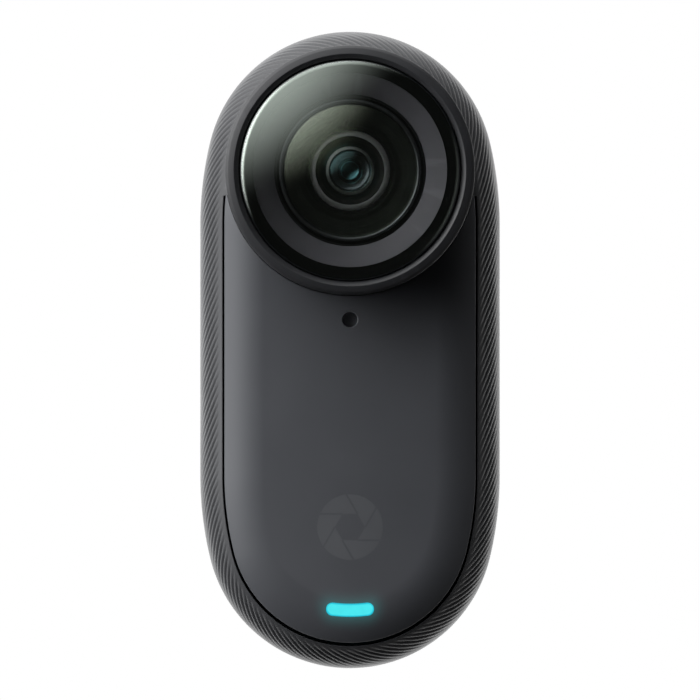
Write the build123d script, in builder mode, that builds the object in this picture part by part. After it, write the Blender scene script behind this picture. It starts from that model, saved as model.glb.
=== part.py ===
from build123d import *
from math import asin, atan2, copysign, degrees, sqrt
import os

# Thumb-sized action camera: a pill-shaped housing with a gripping rim, a front panel that is
# pressed to take pictures, and a bayonet guard over a wide lens.
# +Z is up and the lens faces -Y. The origin is the centre of the flat magnetic back.
# "Height" always means the distance forward of that back, so it is -Y.

# ---- Driving dimensions (mm) ------------------------------------------------------------

# Body outline and shell
HALF_WIDTH = 12.8            # across the straight sides
HALF_HEIGHT = 27.2
END_RADIUS = 12.3            # round top and bottom
EASE_RADIUS = 30.0           # shoulder arcs between the ends and the straight sides
BODY_DEPTH = 16.2            # back to the crest of the front
CROWN_RADIUS = 80.0          # gentle curve across the front
FRONT_EDGE_R = 6.0
BACK_EDGE_R = 3.5
SIDE_WALL = 1.5
BACK_WALL = 2.0
RIM_INSET = 1.93             # width of the shell's rim around the front panel
LEDGE_HEIGHT = 11.8          # underside of that rim

# Rear plate and what it carries
REAR_PLATE_INSET = 3.9
REAR_STEP_INSET = 5.0
REAR_STEP = 1.0              # depth of the seat for the plate and its gasket
REAR_PLATE_T = 0.85
REAR_PLATE_GAP = 0.05
REAR_PLATE_CHAMFER = 0.15
PAD_COUNT = 5
PAD_PITCH = 2.0
PAD_WIDTH = 1.3
PAD_LENGTH = 2.4
PAD_Z = -3.0
PAD_RECESS = 0.05
PAD_HEIGHT = 1.3
CONTACT_BOARD_T = 0.5
MAGNET_WIDTH = 12.0
MAGNET_LENGTH = 5.0
MAGNET_T = 1.5
MAGNET_CORNER_R = 0.6
MAGNET_Z = 12.5
REAR_LIGHT_Z = 5.5
REAR_LIGHT_R = 0.6
REAR_MIC_Z = -20.0
REAR_MIC_R = 0.5
MESH_R = 1.0
MESH_T = 0.12

# Front panel, which is the shutter button
PANEL_GAP = 0.15             # seam around the panel
PANEL_BOTTOM_GAP = 0.13      # extra room at the lower end, where the panel travels most
PANEL_TOP_Z = 13.2
PANEL_FOOT = 12.6            # height of the skirt's lower edge
PANEL_SKIRT_INSET = 3.2
PANEL_CEILING = 14.6         # inner face of the panel
PIN_Z = 8.0
PIN_HEIGHT = 13.3
PIN_R = 0.4
PIN_START_X = 8.7
PIN_END_X = 11.4
PIN_FIT = 0.05
MIC_Z = 2.58
MIC_HOLE_R = 0.63
LIGHT_Z = -22.2
LIGHT_WIDTH = 4.1
LIGHT_HEIGHT = 1.1
LIGHT_BEND_R = 12.0          # the slot follows the lower end of the body
LIGHT_PIPE_FOOT = 12.9
EMBLEM_Z = -15.1
EMBLEM_R = 2.8
EMBLEM_OPENING_R = 1.3
EMBLEM_SLIT = 0.16
EMBLEM_FLOOR = 15.8
BOSS_R = 1.2
BOSS_FOOT = 13.1

# Lens axis, collar and bayonet
LENS_Z = 15.3
COLLAR_R = 10.45
COLLAR_OPENING_R = 10.7       # hole in the shell and panel that the collar and guard stand in
COLLAR_FOOT_R = 10.2
COLLAR_FOOT_TOP = 11.9
COLLAR_TOP = 16.4
COLLAR_FIT = 0.03
COLLAR_BORE_R = 6.3
COLLAR_POCKET_INNER_R = 7.3
COLLAR_POCKET_OUTER_R = 9.3
COLLAR_POCKET_TOP = 14.4
BOSS_TOP = 19.6
LENS_BOSS_R = 8.45
LUG_COUNT = 3
TAB_R = 8.95
TAB_ANGLE = 40.0
TAB_BOTTOM = 18.3
TAB_TOP = 19.1
BAYONET_INNER_R = 9.05
BAYONET_OUTER_R = 9.5
BAYONET_BOTTOM = 16.55
BAYONET_TOP = 19.5
LUG_INNER_R = 8.6
LUG_ANGLE = 30.0
LUG_BOTTOM = 16.9
LUG_TOP = 18.1

# Lens guard
GUARD_BASE = 16.6
GUARD_R = 10.62
GUARD_SHOULDER = 23.08       # where the outer wall turns into the edge
GUARD_EDGE_R = 10.38
GUARD_EDGE = 23.3
GUARD_CREST_R = 9.9
GUARD_CREST = 23.5
GUARD_SEAT_R = 9.48
GUARD_BEVEL_FOOT = 23.22
GUARD_BORE_R = 9.55
GUARD_LEDGE_R = 8.95
GUARD_LEDGE_TOP = 22.1
GUARD_LEDGE_BOTTOM = 21.5
GUARD_LEDGE_FOOT = 20.9
GLASS_R = 9.4
GLASS_BACK = 22.55
GLASS_EDGE = 23.5
GLASS_SAG = 1.3
GLASS_HOLLOW_R = 8.4
GLASS_HOLLOW_SAG = 1.25
MASK_INNER_R = 8.26
MASK_T = 0.15

# Lens
BARREL_R = 6.04
BARREL_TOP = 20.2
BARREL_SEAT = 19.4
BARREL_SEAT_R = 5.72
BARREL_CONE_R = 4.9
BORE_R = 3.45
BORE_TOP = 17.9
BEZEL_TOP = 20.75
BEZEL_ROUND = 0.13
BAFFLE_INNER_R = 6.47
BAFFLE_OUTER_R = 8.26
BAFFLE_INNER_TOP = 20.6
BAFFLE_OUTER_TOP = 22.2
FRONT_LENS_R = 5.7
FRONT_LENS_EDGE = 20.4
FRONT_LENS_SAG = 0.9
FRONT_HOLLOW_R = 4.6
FRONT_HOLLOW_SAG = 0.6
STACK_R = 3.42               # radius of everything stacked in the bore
RETAINER_R = 2.5
RETAINER_BACK = 17.0
RETAINER_BEVEL_R = 3.0
RETAINER_BEVEL_FOOT = 17.5
SECOND_BACK = 15.6
SECOND_DOME_R = 1.87
SECOND_DOME_SAG = 0.45
SPACER_R = 1.1
SPACER_BACK = 15.0
THIRD_BACK = 13.9
STOP_R = 1.1
STOP_BACK = 13.6
FOURTH_BACK = 12.3
REAR_LENS_BACK = 10.9
INNER_FACE_SAG = 0.35        # depth of the hollow faces further in
BARREL_SEAL_BOTTOM = 15.0
BARREL_SEAL_TOP = 16.0

# Chassis and boards
CHASSIS_INSET = 1.55
CHASSIS_BACK = 9.6
CHASSIS_FRONT = 10.4
CHASSIS_RIM_INSET = 3.0
CHASSIS_RIM_TOP = 11.5
GASKET_INSET = 1.98
GASKET_T = 0.5
LENS_WINDOW_WIDTH = 8.0
LENS_WINDOW_LENGTH = 7.0
BOARD_INSET = 3.3
BOARD_TOP_Z = 4.2
BOARD_BACK = 10.7
BOARD_FRONT = 11.5
SCREW_POINTS = [(-8.2, 0.6), (8.2, 0.6), (-6.4, -19.6), (6.4, -19.6)]
SCREW_R = 0.5
SCREW_HEAD_R = 0.95
SCREW_HEAD_T = 0.4
SCREW_TIP = 9.9
STANDOFF_R = 1.2
SHIELD_WIDTH = 11.0
SHIELD_LENGTH = 8.0
SHIELD_Z = -5.5
SHIELD_T = 1.3
SHIELD_ROUND = 0.5
CHIPS = [                    # (x, z, width, length, thickness) of each package on the board
    (-6.4, -12.6, 3.4, 4.0, 0.9),
    (6.0, -12.8, 4.2, 3.4, 0.7),
    (-5.0, -17.0, 2.6, 2.0, 0.6),
    (5.4, -16.8, 2.8, 2.2, 0.8),
    (-4.6, 1.0, 2.6, 2.6, 0.6),
    (4.6, 1.0, 2.6, 2.0, 0.6),
]
BATTERY_WIDTH = 16.0
BATTERY_BOTTOM_Z = -21.5
BATTERY_TOP_Z = -1.0
BATTERY_BACK = 2.9
BATTERY_FRONT = 9.4
BATTERY_CORNER_R = 1.5
LEAD_X = 4.5
LEAD_WIDTH = 3.0
LEAD_HEIGHT = 6.0
LEAD_Z = 1.0
FLEX_T = 0.25
SENSOR_FLEX_X = -4.0
SENSOR_FLEX_WIDTH = 6.0
SENSOR_FLEX_Z = 3.2
SLOT_MARGIN = 0.3
MOTOR_X = 5.0
MOTOR_Z = 4.6
MOTOR_R = 3.0
MOTOR_BACK = 2.4
MOTOR_T = 2.7
ANTENNA_X = 10.9
ANTENNA_T = 0.25
ANTENNA_WIDTH = 4.5
ANTENNA_HALF_LENGTH = 9.0
ANTENNA_HEIGHT = 6.2
SENSOR_BOARD_WIDTH = 13.0
SENSOR_BOARD_LENGTH = 12.0
SENSOR_BOARD_BACK = 8.0
SENSOR_BOARD_T = 0.8
SENSOR_WIDTH = 7.8
SENSOR_LENGTH = 6.6
SENSOR_T = 0.8
FILTER_WIDTH = 7.4
FILTER_LENGTH = 6.2
FILTER_T = 0.3
SPREADER_WIDTH = 14.0
SPREADER_LENGTH = 12.5
SPREADER_T = 0.5
SENSOR_FLEX_TOP_Z = 9.3

# Switches, lights and microphones
SWITCH_WIDTH = 3.4
SWITCH_TOP = 12.4
SWITCH_WELL_FLOOR = 11.55
PLUNGER_R = 0.8
PLUNGER_FOOT = 11.95
PLUNGER_TOP = 13.05
PLUNGER_FIT = 0.05
LED_WIDTH = 2.4
LED_LENGTH = 1.0
LED_T = 0.7
MIC_WIDTH = 3.0
MIC_LENGTH = 2.4
MIC_T = 1.0

# Power button in the top of the shell; these levels are along Z
POWER_HEIGHT = 6.7
POWER_WIDTH = 6.0
POWER_LENGTH = 2.4
POWER_FIT = 0.1
POWER_FLANGE_WIDTH = 7.6
POWER_FLANGE_LENGTH = 3.8
POWER_FLANGE_BOTTOM_Z = 24.1
POWER_FLANGE_TOP_Z = 24.6
POWER_SEAL_T = 0.25
POWER_SEAL_Z = 24.65
POWER_STEM_TOP_Z = 24.05
POWER_STEM_FOOT_Z = 22.9
POWER_STEM_R = 0.6
POWER_SWITCH_WIDTH = 3.2
POWER_SWITCH_LENGTH = 3.0
POWER_SWITCH_BOTTOM_Z = 21.8
POWER_SWITCH_TOP_Z = 23.3
POWER_WELL_FLOOR_Z = 22.5

# ---- Worked out from the above ----------------------------------------------------------

END_Z = HALF_HEIGHT - END_RADIUS
EASE_X = EASE_RADIUS - HALF_WIDTH
SHOULDER_Z = END_Z - sqrt((EASE_RADIUS - END_RADIUS) ** 2 - EASE_X**2)
EASE_ANGLE = degrees(atan2(END_Z - SHOULDER_Z, EASE_X))
PANEL_INSET = RIM_INSET + PANEL_GAP
PANEL_CUT_R = COLLAR_OPENING_R

LENS_AXIS = Axis((0, 0, LENS_Z), (0, -1, 0))
LENS_SECTION = Plane((0, 0, LENS_Z), x_dir=(1, 0, 0), z_dir=(0, 0, -1))


# ---- Shapes that several pieces share ---------------------------------------------------


def at_height(height, z=0):
    """Drawing plane that faces forward; its local y is the world's Z."""
    return Plane((0, -height, z), x_dir=(1, 0, 0), z_dir=(0, -1, 0))


def power_level(z):
    """Drawing plane that faces up, centred on the power button."""
    return Plane((0, -POWER_HEIGHT, z), x_dir=(1, 0, 0), z_dir=(0, 0, 1))


def body_outline(inset):
    """The body's outline moved inwards: straight sides, eased shoulders, round ends."""
    side = HALF_WIDTH - inset
    with BuildSketch() as outline:
        with BuildLine():
            Line((side, 0), (side, SHOULDER_Z))
            CenterArc((-EASE_X, SHOULDER_Z), EASE_RADIUS - inset, 0, EASE_ANGLE)
            CenterArc((0, END_Z), END_RADIUS - inset, EASE_ANGLE, 180 - 2 * EASE_ANGLE)
            CenterArc((EASE_X, SHOULDER_Z), EASE_RADIUS - inset, 180 - EASE_ANGLE, EASE_ANGLE)
            Line((-side, SHOULDER_Z), (-side, 0))
            mirror(about=Plane.XZ)
        make_face()
    return outline.sketch


def lower_outline(inset, top_z):
    """The part of the outline below top_z."""
    with BuildSketch() as outline:
        add(body_outline(inset))
        with Locations((0, top_z)):
            Rectangle(4 * HALF_WIDTH, 4 * HALF_HEIGHT, align=(Align.CENTER, Align.MIN), mode=Mode.SUBTRACT)
    return outline.sketch


def body_blank():
    """The closed outer form of the body, with its crown and its rounded edges."""
    with BuildPart() as blank:
        with BuildSketch(at_height(0)):
            add(body_outline(0))
        extrude(amount=BODY_DEPTH)
        with BuildSketch(Plane.XY):
            with Locations((0, CROWN_RADIUS - BODY_DEPTH)):
                Circle(CROWN_RADIUS)
        extrude(amount=HALF_HEIGHT, both=True, mode=Mode.INTERSECT)
        fillet(blank.faces().sort_by(Axis.Y)[0].edges(), FRONT_EDGE_R)
        fillet(blank.faces().sort_by(Axis.Y)[-1].edges(), BACK_EDGE_R)
    return blank.part


def ring_section(inner, outer, back, front):
    """Half section of a plain turned ring."""
    with BuildSketch() as section:
        with Locations(((inner + outer) / 2, (back + front) / 2)):
            Rectangle(outer - inner, front - back)
    return section.sketch


def face_arc(edge, height, sag):
    """Spherical lens face from the axis to its edge; a negative sag is a hollow face."""
    sphere = (edge**2 + sag**2) / (2 * abs(sag))
    return JernArc((0, height + sag), (1, 0), sphere, -copysign(degrees(asin(edge / sphere)), sag))


def lens_section(edge, back, front, back_sag, front_sag):
    """Half section of a lens; a positive sag makes that face bulge outwards."""
    with BuildSketch() as section:
        with BuildLine():
            front_face = face_arc(edge, front, front_sag)
            back_face = face_arc(edge, back, -back_sag)
            Line(front_face @ 1, back_face @ 1)
            Line(front_face @ 0, back_face @ 0)
        make_face()
    return section.sketch


def hollow_dome(edge, back, front, sag, hollow_edge, hollow_sag):
    """Half section of a dome with a flat foot and a smaller spherical hollow behind."""
    with BuildSketch() as section:
        with BuildLine():
            front_face = face_arc(edge, front, sag)
            hollow = face_arc(hollow_edge, back, hollow_sag)
            Polyline(front_face @ 1, (edge, back), hollow @ 1)
            Line(front_face @ 0, hollow @ 0)
        make_face()
    return section.sketch


def arc_segment(inner, outer, angle):
    """Flat piece of a ring, centred on the local x direction."""
    with BuildSketch() as segment:
        with BuildLine():
            CenterArc((0, 0), outer, -angle / 2, angle)
            CenterArc((0, 0), inner, -angle / 2, angle)
            for side in (-1, 1):
                start = Vector(inner, 0).rotate(Axis.Z, side * angle / 2)
                Line(start, start * (outer / inner))
        make_face()
    return segment.sketch


def light_slot():
    """Rounded slot of the status light, bent like the end of the body."""
    bend = (LIGHT_WIDTH - LIGHT_HEIGHT) / LIGHT_BEND_R
    with BuildSketch() as slot:
        with BuildLine(mode=Mode.PRIVATE) as path:
            CenterArc((0, LIGHT_Z + LIGHT_BEND_R), LIGHT_BEND_R, 270 - degrees(bend) / 2, degrees(bend))
        SlotArc(path.edges()[0], LIGHT_HEIGHT)
    return slot.sketch


def iris_blades():
    """Six blades round a hexagonal opening, the plain sign of a camera."""
    with BuildSketch() as blades:
        Circle(EMBLEM_R)
        RegularPolygon(EMBLEM_OPENING_R, 6, mode=Mode.SUBTRACT)
        with PolarLocations(0, 6):
            with Locations(Location((EMBLEM_OPENING_R, 0), 60)):
                Rectangle(EMBLEM_R, EMBLEM_SLIT, align=(Align.MIN, Align.CENTER), mode=Mode.SUBTRACT)
    return blades.sketch


# ---- Housing ----------------------------------------------------------------------------

with BuildPart() as rear_shell:
    add(body_blank())
    with BuildSketch(at_height(BACK_WALL)):
        add(body_outline(SIDE_WALL))
    extrude(amount=LEDGE_HEIGHT - BACK_WALL, mode=Mode.SUBTRACT)
    with BuildSketch(at_height(LEDGE_HEIGHT)):
        add(lower_outline(RIM_INSET, PANEL_TOP_Z + PANEL_GAP))
        with Locations((0, LENS_Z)):
            Circle(COLLAR_R + COLLAR_FIT)
    extrude(amount=BODY_DEPTH, mode=Mode.SUBTRACT)
    with BuildSketch(at_height(0)):
        add(body_outline(REAR_PLATE_INSET))
    extrude(amount=REAR_STEP, mode=Mode.SUBTRACT)
    with BuildSketch(at_height(0)):
        add(body_outline(REAR_STEP_INSET))
    extrude(amount=BACK_WALL, mode=Mode.SUBTRACT)
    with BuildSketch(Plane.YZ):
        with Locations((-PIN_HEIGHT, PIN_Z)):
            Circle(PIN_R)
    extrude(amount=PIN_END_X, both=True, mode=Mode.SUBTRACT)
    with BuildSketch(power_level(END_Z)):
        SlotOverall(POWER_WIDTH + 2 * POWER_FIT, POWER_LENGTH + 2 * POWER_FIT)
    extrude(amount=END_RADIUS, mode=Mode.SUBTRACT)

with BuildPart() as rear_plate:
    with BuildSketch(at_height(0)):
        add(body_outline(REAR_PLATE_INSET + REAR_PLATE_GAP))
        with Locations((0, PAD_Z)):
            with GridLocations(PAD_PITCH, 0, PAD_COUNT, 1):
                SlotOverall(PAD_LENGTH, PAD_WIDTH, rotation=90, mode=Mode.SUBTRACT)
        with Locations((0, REAR_LIGHT_Z)):
            Circle(REAR_LIGHT_R, mode=Mode.SUBTRACT)
        with Locations((0, REAR_MIC_Z)):
            Circle(REAR_MIC_R, mode=Mode.SUBTRACT)
    extrude(amount=REAR_PLATE_T)
    chamfer(rear_plate.faces().sort_by(Axis.Y)[-1].outer_wire().edges(), REAR_PLATE_CHAMFER)

with BuildPart() as rear_plate_gasket:
    with BuildSketch(at_height(REAR_PLATE_T)):
        add(body_outline(REAR_PLATE_INSET + REAR_PLATE_GAP))
        add(body_outline(REAR_STEP_INSET), mode=Mode.SUBTRACT)
    extrude(amount=REAR_STEP - REAR_PLATE_T)

with BuildPart() as contact_pads:
    with BuildSketch(at_height(PAD_RECESS)):
        with Locations((0, PAD_Z)):
            with GridLocations(PAD_PITCH, 0, PAD_COUNT, 1):
                SlotOverall(PAD_LENGTH, PAD_WIDTH, rotation=90)
    extrude(amount=PAD_HEIGHT - PAD_RECESS)

with BuildPart() as contact_board:
    with BuildSketch(at_height(PAD_HEIGHT)):
        with Locations((0, PAD_Z)):
            Rectangle(PAD_PITCH * (PAD_COUNT + 1), 2 * PAD_LENGTH)
    extrude(amount=CONTACT_BOARD_T)

with BuildPart() as back_magnets:
    with BuildSketch(at_height(REAR_PLATE_T)):
        with GridLocations(0, 2 * MAGNET_Z, 1, 2):
            RectangleRounded(MAGNET_WIDTH, MAGNET_LENGTH, MAGNET_CORNER_R)
    extrude(amount=MAGNET_T)

with BuildPart() as rear_light_window:
    with BuildSketch(at_height(PAD_RECESS)):
        with Locations((0, REAR_LIGHT_Z)):
            Circle(REAR_LIGHT_R)
    extrude(amount=REAR_PLATE_T - PAD_RECESS)

with BuildPart() as rear_led:
    with BuildSketch(at_height(REAR_PLATE_T + MESH_T)):
        with Locations((0, REAR_LIGHT_Z)):
            Rectangle(LED_LENGTH, LED_LENGTH)
    extrude(amount=LED_T)

with BuildPart() as rear_mic_mesh:
    with BuildSketch(at_height(REAR_PLATE_T)):
        with Locations((0, REAR_MIC_Z)):
            Circle(MESH_R)
    extrude(amount=MESH_T)

with BuildPart() as rear_microphone:
    with BuildSketch(at_height(REAR_PLATE_T + MESH_T)):
        with Locations((0, REAR_MIC_Z)):
            Rectangle(MIC_WIDTH, MIC_LENGTH)
    extrude(amount=MIC_T)

# ---- Chassis and boards -----------------------------------------------------------------

with BuildPart() as chassis:
    with BuildSketch(at_height(CHASSIS_BACK)):
        add(body_outline(CHASSIS_INSET))
    extrude(amount=CHASSIS_FRONT - CHASSIS_BACK)
    with BuildSketch(at_height(CHASSIS_FRONT)):
        add(body_outline(CHASSIS_INSET))
        add(body_outline(CHASSIS_RIM_INSET), mode=Mode.SUBTRACT)
        with Locations((0, LENS_Z)):
            Circle(COLLAR_OPENING_R, mode=Mode.SUBTRACT)
    extrude(amount=CHASSIS_RIM_TOP - CHASSIS_FRONT)
    with BuildSketch(at_height(CHASSIS_FRONT)):
        with Locations(*SCREW_POINTS):
            Circle(STANDOFF_R)
    extrude(amount=BOARD_BACK - CHASSIS_FRONT)
    with BuildSketch(at_height(SCREW_TIP)):
        with Locations(*SCREW_POINTS):
            Circle(SCREW_R)
    extrude(amount=BOARD_BACK - SCREW_TIP, mode=Mode.SUBTRACT)
    with BuildSketch(at_height(CHASSIS_BACK)):
        with Locations((0, LENS_Z)):
            Rectangle(LENS_WINDOW_WIDTH, LENS_WINDOW_LENGTH)
        with Locations((SENSOR_FLEX_X, SENSOR_FLEX_Z)):
            Rectangle(SENSOR_FLEX_WIDTH + 2 * SLOT_MARGIN, FLEX_T + 2 * SLOT_MARGIN)
        with Locations((LEAD_X, LEAD_Z)):
            Rectangle(LEAD_WIDTH + 2 * SLOT_MARGIN, FLEX_T + 2 * SLOT_MARGIN)
    extrude(amount=CHASSIS_RIM_TOP - CHASSIS_BACK, mode=Mode.SUBTRACT)
    with BuildSketch(power_level(POWER_SWITCH_BOTTOM_Z)):
        with Locations((0, -POWER_SWITCH_LENGTH / 2)):
            Rectangle(
                POWER_SWITCH_WIDTH,
                CHASSIS_BACK - POWER_HEIGHT - POWER_SWITCH_LENGTH / 2,
                align=(Align.CENTER, Align.MAX),
            )
    extrude(amount=POWER_SWITCH_TOP_Z - POWER_SWITCH_BOTTOM_Z)

with BuildPart() as panel_gasket:
    with BuildSketch(at_height(CHASSIS_RIM_TOP)):
        add(body_outline(GASKET_INSET))
        add(body_outline(CHASSIS_RIM_INSET), mode=Mode.SUBTRACT)
        with Locations((0, LENS_Z)):
            Circle(COLLAR_OPENING_R, mode=Mode.SUBTRACT)
        with Locations((0, PANEL_TOP_Z)):
            Rectangle(4 * HALF_WIDTH, 2 * HALF_HEIGHT, align=(Align.CENTER, Align.MIN), mode=Mode.SUBTRACT)
    extrude(amount=GASKET_T)

with BuildPart() as panel_hinge_pins:
    with BuildSketch(Plane.YZ.offset(PIN_START_X)):
        with Locations((-PIN_HEIGHT, PIN_Z)):
            Circle(PIN_R)
    extrude(amount=PIN_END_X - PIN_START_X)
    mirror(about=Plane.YZ)

with BuildPart() as main_board:
    with BuildSketch(at_height(BOARD_BACK)):
        add(lower_outline(BOARD_INSET, BOARD_TOP_Z))
        with Locations((0, LENS_Z)):
            Circle(COLLAR_OPENING_R, mode=Mode.SUBTRACT)
        with Locations(*SCREW_POINTS):
            Circle(SCREW_R, mode=Mode.SUBTRACT)
    extrude(amount=BOARD_FRONT - BOARD_BACK)

with BuildPart() as board_screws:
    with BuildSketch(at_height(SCREW_TIP)):
        with Locations(*SCREW_POINTS):
            Circle(SCREW_R)
    extrude(amount=BOARD_FRONT - SCREW_TIP)
    with BuildSketch(at_height(BOARD_FRONT)):
        with Locations(*SCREW_POINTS):
            Circle(SCREW_HEAD_R)
    extrude(amount=SCREW_HEAD_T)
    with BuildSketch(at_height(BOARD_FRONT + SCREW_HEAD_T / 2)):
        with Locations(*SCREW_POINTS):
            RegularPolygon(SCREW_R, 6)
    extrude(amount=SCREW_HEAD_T, mode=Mode.SUBTRACT)

with BuildPart() as processor_shield:
    with BuildSketch(at_height(BOARD_FRONT)):
        with Locations((0, SHIELD_Z)):
            Rectangle(SHIELD_WIDTH, SHIELD_LENGTH)
    extrude(amount=SHIELD_T)
    fillet(processor_shield.edges().filter_by(Axis.Y), SHIELD_ROUND)
    fillet(processor_shield.faces().sort_by(Axis.Y)[0].edges(), SHIELD_ROUND / 2)

with BuildPart() as board_chips:
    for x, z, width, length, thickness in CHIPS:
        with BuildSketch(at_height(BOARD_FRONT)):
            with Locations((x, z)):
                Rectangle(width, length)
        extrude(amount=thickness)

with BuildPart() as battery_cell:
    with BuildSketch(at_height(BATTERY_BACK)):
        with Locations((0, (BATTERY_BOTTOM_Z + BATTERY_TOP_Z) / 2)):
            RectangleRounded(BATTERY_WIDTH, BATTERY_TOP_Z - BATTERY_BOTTOM_Z, BATTERY_CORNER_R)
    extrude(amount=BATTERY_FRONT - BATTERY_BACK)
    fillet(battery_cell.edges().filter_by(Axis.Z), BATTERY_CORNER_R / 2)

with BuildPart() as battery_lead:
    with BuildSketch(Plane.YZ.offset(LEAD_X - LEAD_WIDTH / 2)):
        with BuildLine():
            Polyline(
                (-LEAD_HEIGHT, BATTERY_TOP_Z),
                (-LEAD_HEIGHT, LEAD_Z + FLEX_T / 2),
                (-BOARD_BACK, LEAD_Z + FLEX_T / 2),
                (-BOARD_BACK, LEAD_Z - FLEX_T / 2),
                (-LEAD_HEIGHT - FLEX_T, LEAD_Z - FLEX_T / 2),
                (-LEAD_HEIGHT - FLEX_T, BATTERY_TOP_Z),
                close=True,
            )
        make_face()
    extrude(amount=LEAD_WIDTH)

with BuildPart() as haptic_motor:
    with BuildSketch(at_height(MOTOR_BACK)):
        with Locations((-MOTOR_X, MOTOR_Z)):
            Circle(MOTOR_R)
    extrude(amount=MOTOR_T)

with BuildPart() as wifi_antenna:
    with BuildSketch(at_height(ANTENNA_HEIGHT - ANTENNA_WIDTH / 2)):
        with Locations((ANTENNA_X, 0)):
            Rectangle(ANTENNA_T, 2 * ANTENNA_HALF_LENGTH)
    extrude(amount=ANTENNA_WIDTH)

with BuildPart() as front_microphone:
    with BuildSketch(at_height(BOARD_FRONT)):
        with Locations((0, MIC_Z)):
            Rectangle(MIC_WIDTH, MIC_LENGTH)
    extrude(amount=MIC_T)

with BuildPart() as front_led:
    with BuildSketch(at_height(BOARD_FRONT)):
        with Locations((0, LIGHT_Z)):
            Rectangle(LED_WIDTH, LED_LENGTH)
    extrude(amount=LED_T)

# ---- Front panel ------------------------------------------------------------------------

with BuildPart() as front_panel:
    with BuildSketch(at_height(PANEL_FOOT)):
        add(lower_outline(PANEL_INSET, PANEL_TOP_Z))
        with Locations((0, PANEL_BOTTOM_GAP)):
            add(body_outline(PANEL_INSET), mode=Mode.INTERSECT)
        with Locations((0, LENS_Z)):
            Circle(PANEL_CUT_R, mode=Mode.SUBTRACT)
    extrude(amount=BODY_DEPTH - PANEL_FOOT)
    add(body_blank(), mode=Mode.INTERSECT)
    with BuildSketch(at_height(PANEL_FOOT)):
        add(lower_outline(PANEL_SKIRT_INSET, PANEL_TOP_Z))
        with Locations((0, LENS_Z)):
            Circle(PANEL_CUT_R + PANEL_SKIRT_INSET - PANEL_INSET, mode=Mode.SUBTRACT)
    extrude(amount=PANEL_CEILING - PANEL_FOOT, mode=Mode.SUBTRACT)
    with BuildSketch(at_height(PANEL_CEILING)):
        with Locations((0, EMBLEM_Z)):
            Circle(BOSS_R)
    extrude(amount=BOSS_FOOT - PANEL_CEILING)
    with BuildSketch(Plane.YZ):
        with Locations((-PIN_HEIGHT, PIN_Z)):
            Circle(PIN_R + PIN_FIT)
    extrude(amount=HALF_WIDTH, both=True, mode=Mode.SUBTRACT)
    with BuildSketch(at_height(PANEL_FOOT)):
        with Locations((0, MIC_Z)):
            Circle(MIC_HOLE_R)
        add(light_slot())
    extrude(amount=BODY_DEPTH - PANEL_FOOT, mode=Mode.SUBTRACT)
    with BuildSketch(at_height(EMBLEM_FLOOR)):
        with Locations((0, EMBLEM_Z)):
            add(iris_blades())
    extrude(amount=BODY_DEPTH - EMBLEM_FLOOR, mode=Mode.SUBTRACT)

with BuildPart() as emblem_inlay:
    with BuildSketch(at_height(EMBLEM_FLOOR)):
        with Locations((0, EMBLEM_Z)):
            add(iris_blades())
    extrude(amount=BODY_DEPTH - EMBLEM_FLOOR)
    add(body_blank(), mode=Mode.INTERSECT)

with BuildPart() as front_light_pipe:
    with BuildSketch(at_height(LIGHT_PIPE_FOOT)):
        add(light_slot())
    extrude(amount=BODY_DEPTH - LIGHT_PIPE_FOOT)
    add(body_blank(), mode=Mode.INTERSECT)

with BuildPart() as front_mic_mesh:
    with BuildSketch(at_height(PANEL_CEILING - MESH_T)):
        with Locations((0, MIC_Z)):
            Circle(MESH_R)
    extrude(amount=MESH_T)

with BuildPart() as shutter_switch:
    with BuildSketch(at_height(BOARD_FRONT)):
        with Locations((0, EMBLEM_Z)):
            Rectangle(SWITCH_WIDTH, SWITCH_WIDTH)
    extrude(amount=SWITCH_TOP - BOARD_FRONT)
    with BuildSketch(at_height(SWITCH_WELL_FLOOR)):
        with Locations((0, EMBLEM_Z)):
            Circle(PLUNGER_R + PLUNGER_FIT)
    extrude(amount=SWITCH_TOP - SWITCH_WELL_FLOOR, mode=Mode.SUBTRACT)

with BuildPart() as shutter_plunger:
    with BuildSketch(at_height(PLUNGER_FOOT)):
        with Locations((0, EMBLEM_Z)):
            Circle(PLUNGER_R)
    extrude(amount=PLUNGER_TOP - PLUNGER_FOOT)

# ---- Power button -----------------------------------------------------------------------

with BuildPart() as power_button:
    with BuildSketch(power_level(POWER_FLANGE_BOTTOM_Z)):
        SlotOverall(POWER_WIDTH, POWER_LENGTH)
    extrude(amount=HALF_HEIGHT - POWER_FLANGE_BOTTOM_Z)
    add(body_blank(), mode=Mode.INTERSECT)
    with BuildSketch(power_level(POWER_FLANGE_BOTTOM_Z)):
        SlotOverall(POWER_FLANGE_WIDTH, POWER_FLANGE_LENGTH)
    extrude(amount=POWER_FLANGE_TOP_Z - POWER_FLANGE_BOTTOM_Z)

with BuildPart() as power_button_seal:
    with BuildSketch(power_level(POWER_SEAL_Z)):
        SlotOverall(POWER_FLANGE_WIDTH, POWER_FLANGE_LENGTH)
        SlotOverall(POWER_WIDTH + 2 * POWER_FIT, POWER_LENGTH + 2 * POWER_FIT, mode=Mode.SUBTRACT)
    extrude(amount=POWER_SEAL_T)

with BuildPart() as power_switch:
    with BuildSketch(power_level(POWER_SWITCH_BOTTOM_Z)):
        Rectangle(POWER_SWITCH_WIDTH, POWER_SWITCH_LENGTH)
    extrude(amount=POWER_SWITCH_TOP_Z - POWER_SWITCH_BOTTOM_Z)
    with BuildSketch(power_level(POWER_WELL_FLOOR_Z)):
        Circle(POWER_STEM_R + PLUNGER_FIT)
    extrude(amount=POWER_SWITCH_TOP_Z - POWER_WELL_FLOOR_Z, mode=Mode.SUBTRACT)

with BuildPart() as power_plunger:
    with BuildSketch(power_level(POWER_STEM_FOOT_Z)):
        Circle(POWER_STEM_R)
    extrude(amount=POWER_STEM_TOP_Z - POWER_STEM_FOOT_Z)

# ---- Lens -------------------------------------------------------------------------------

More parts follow.
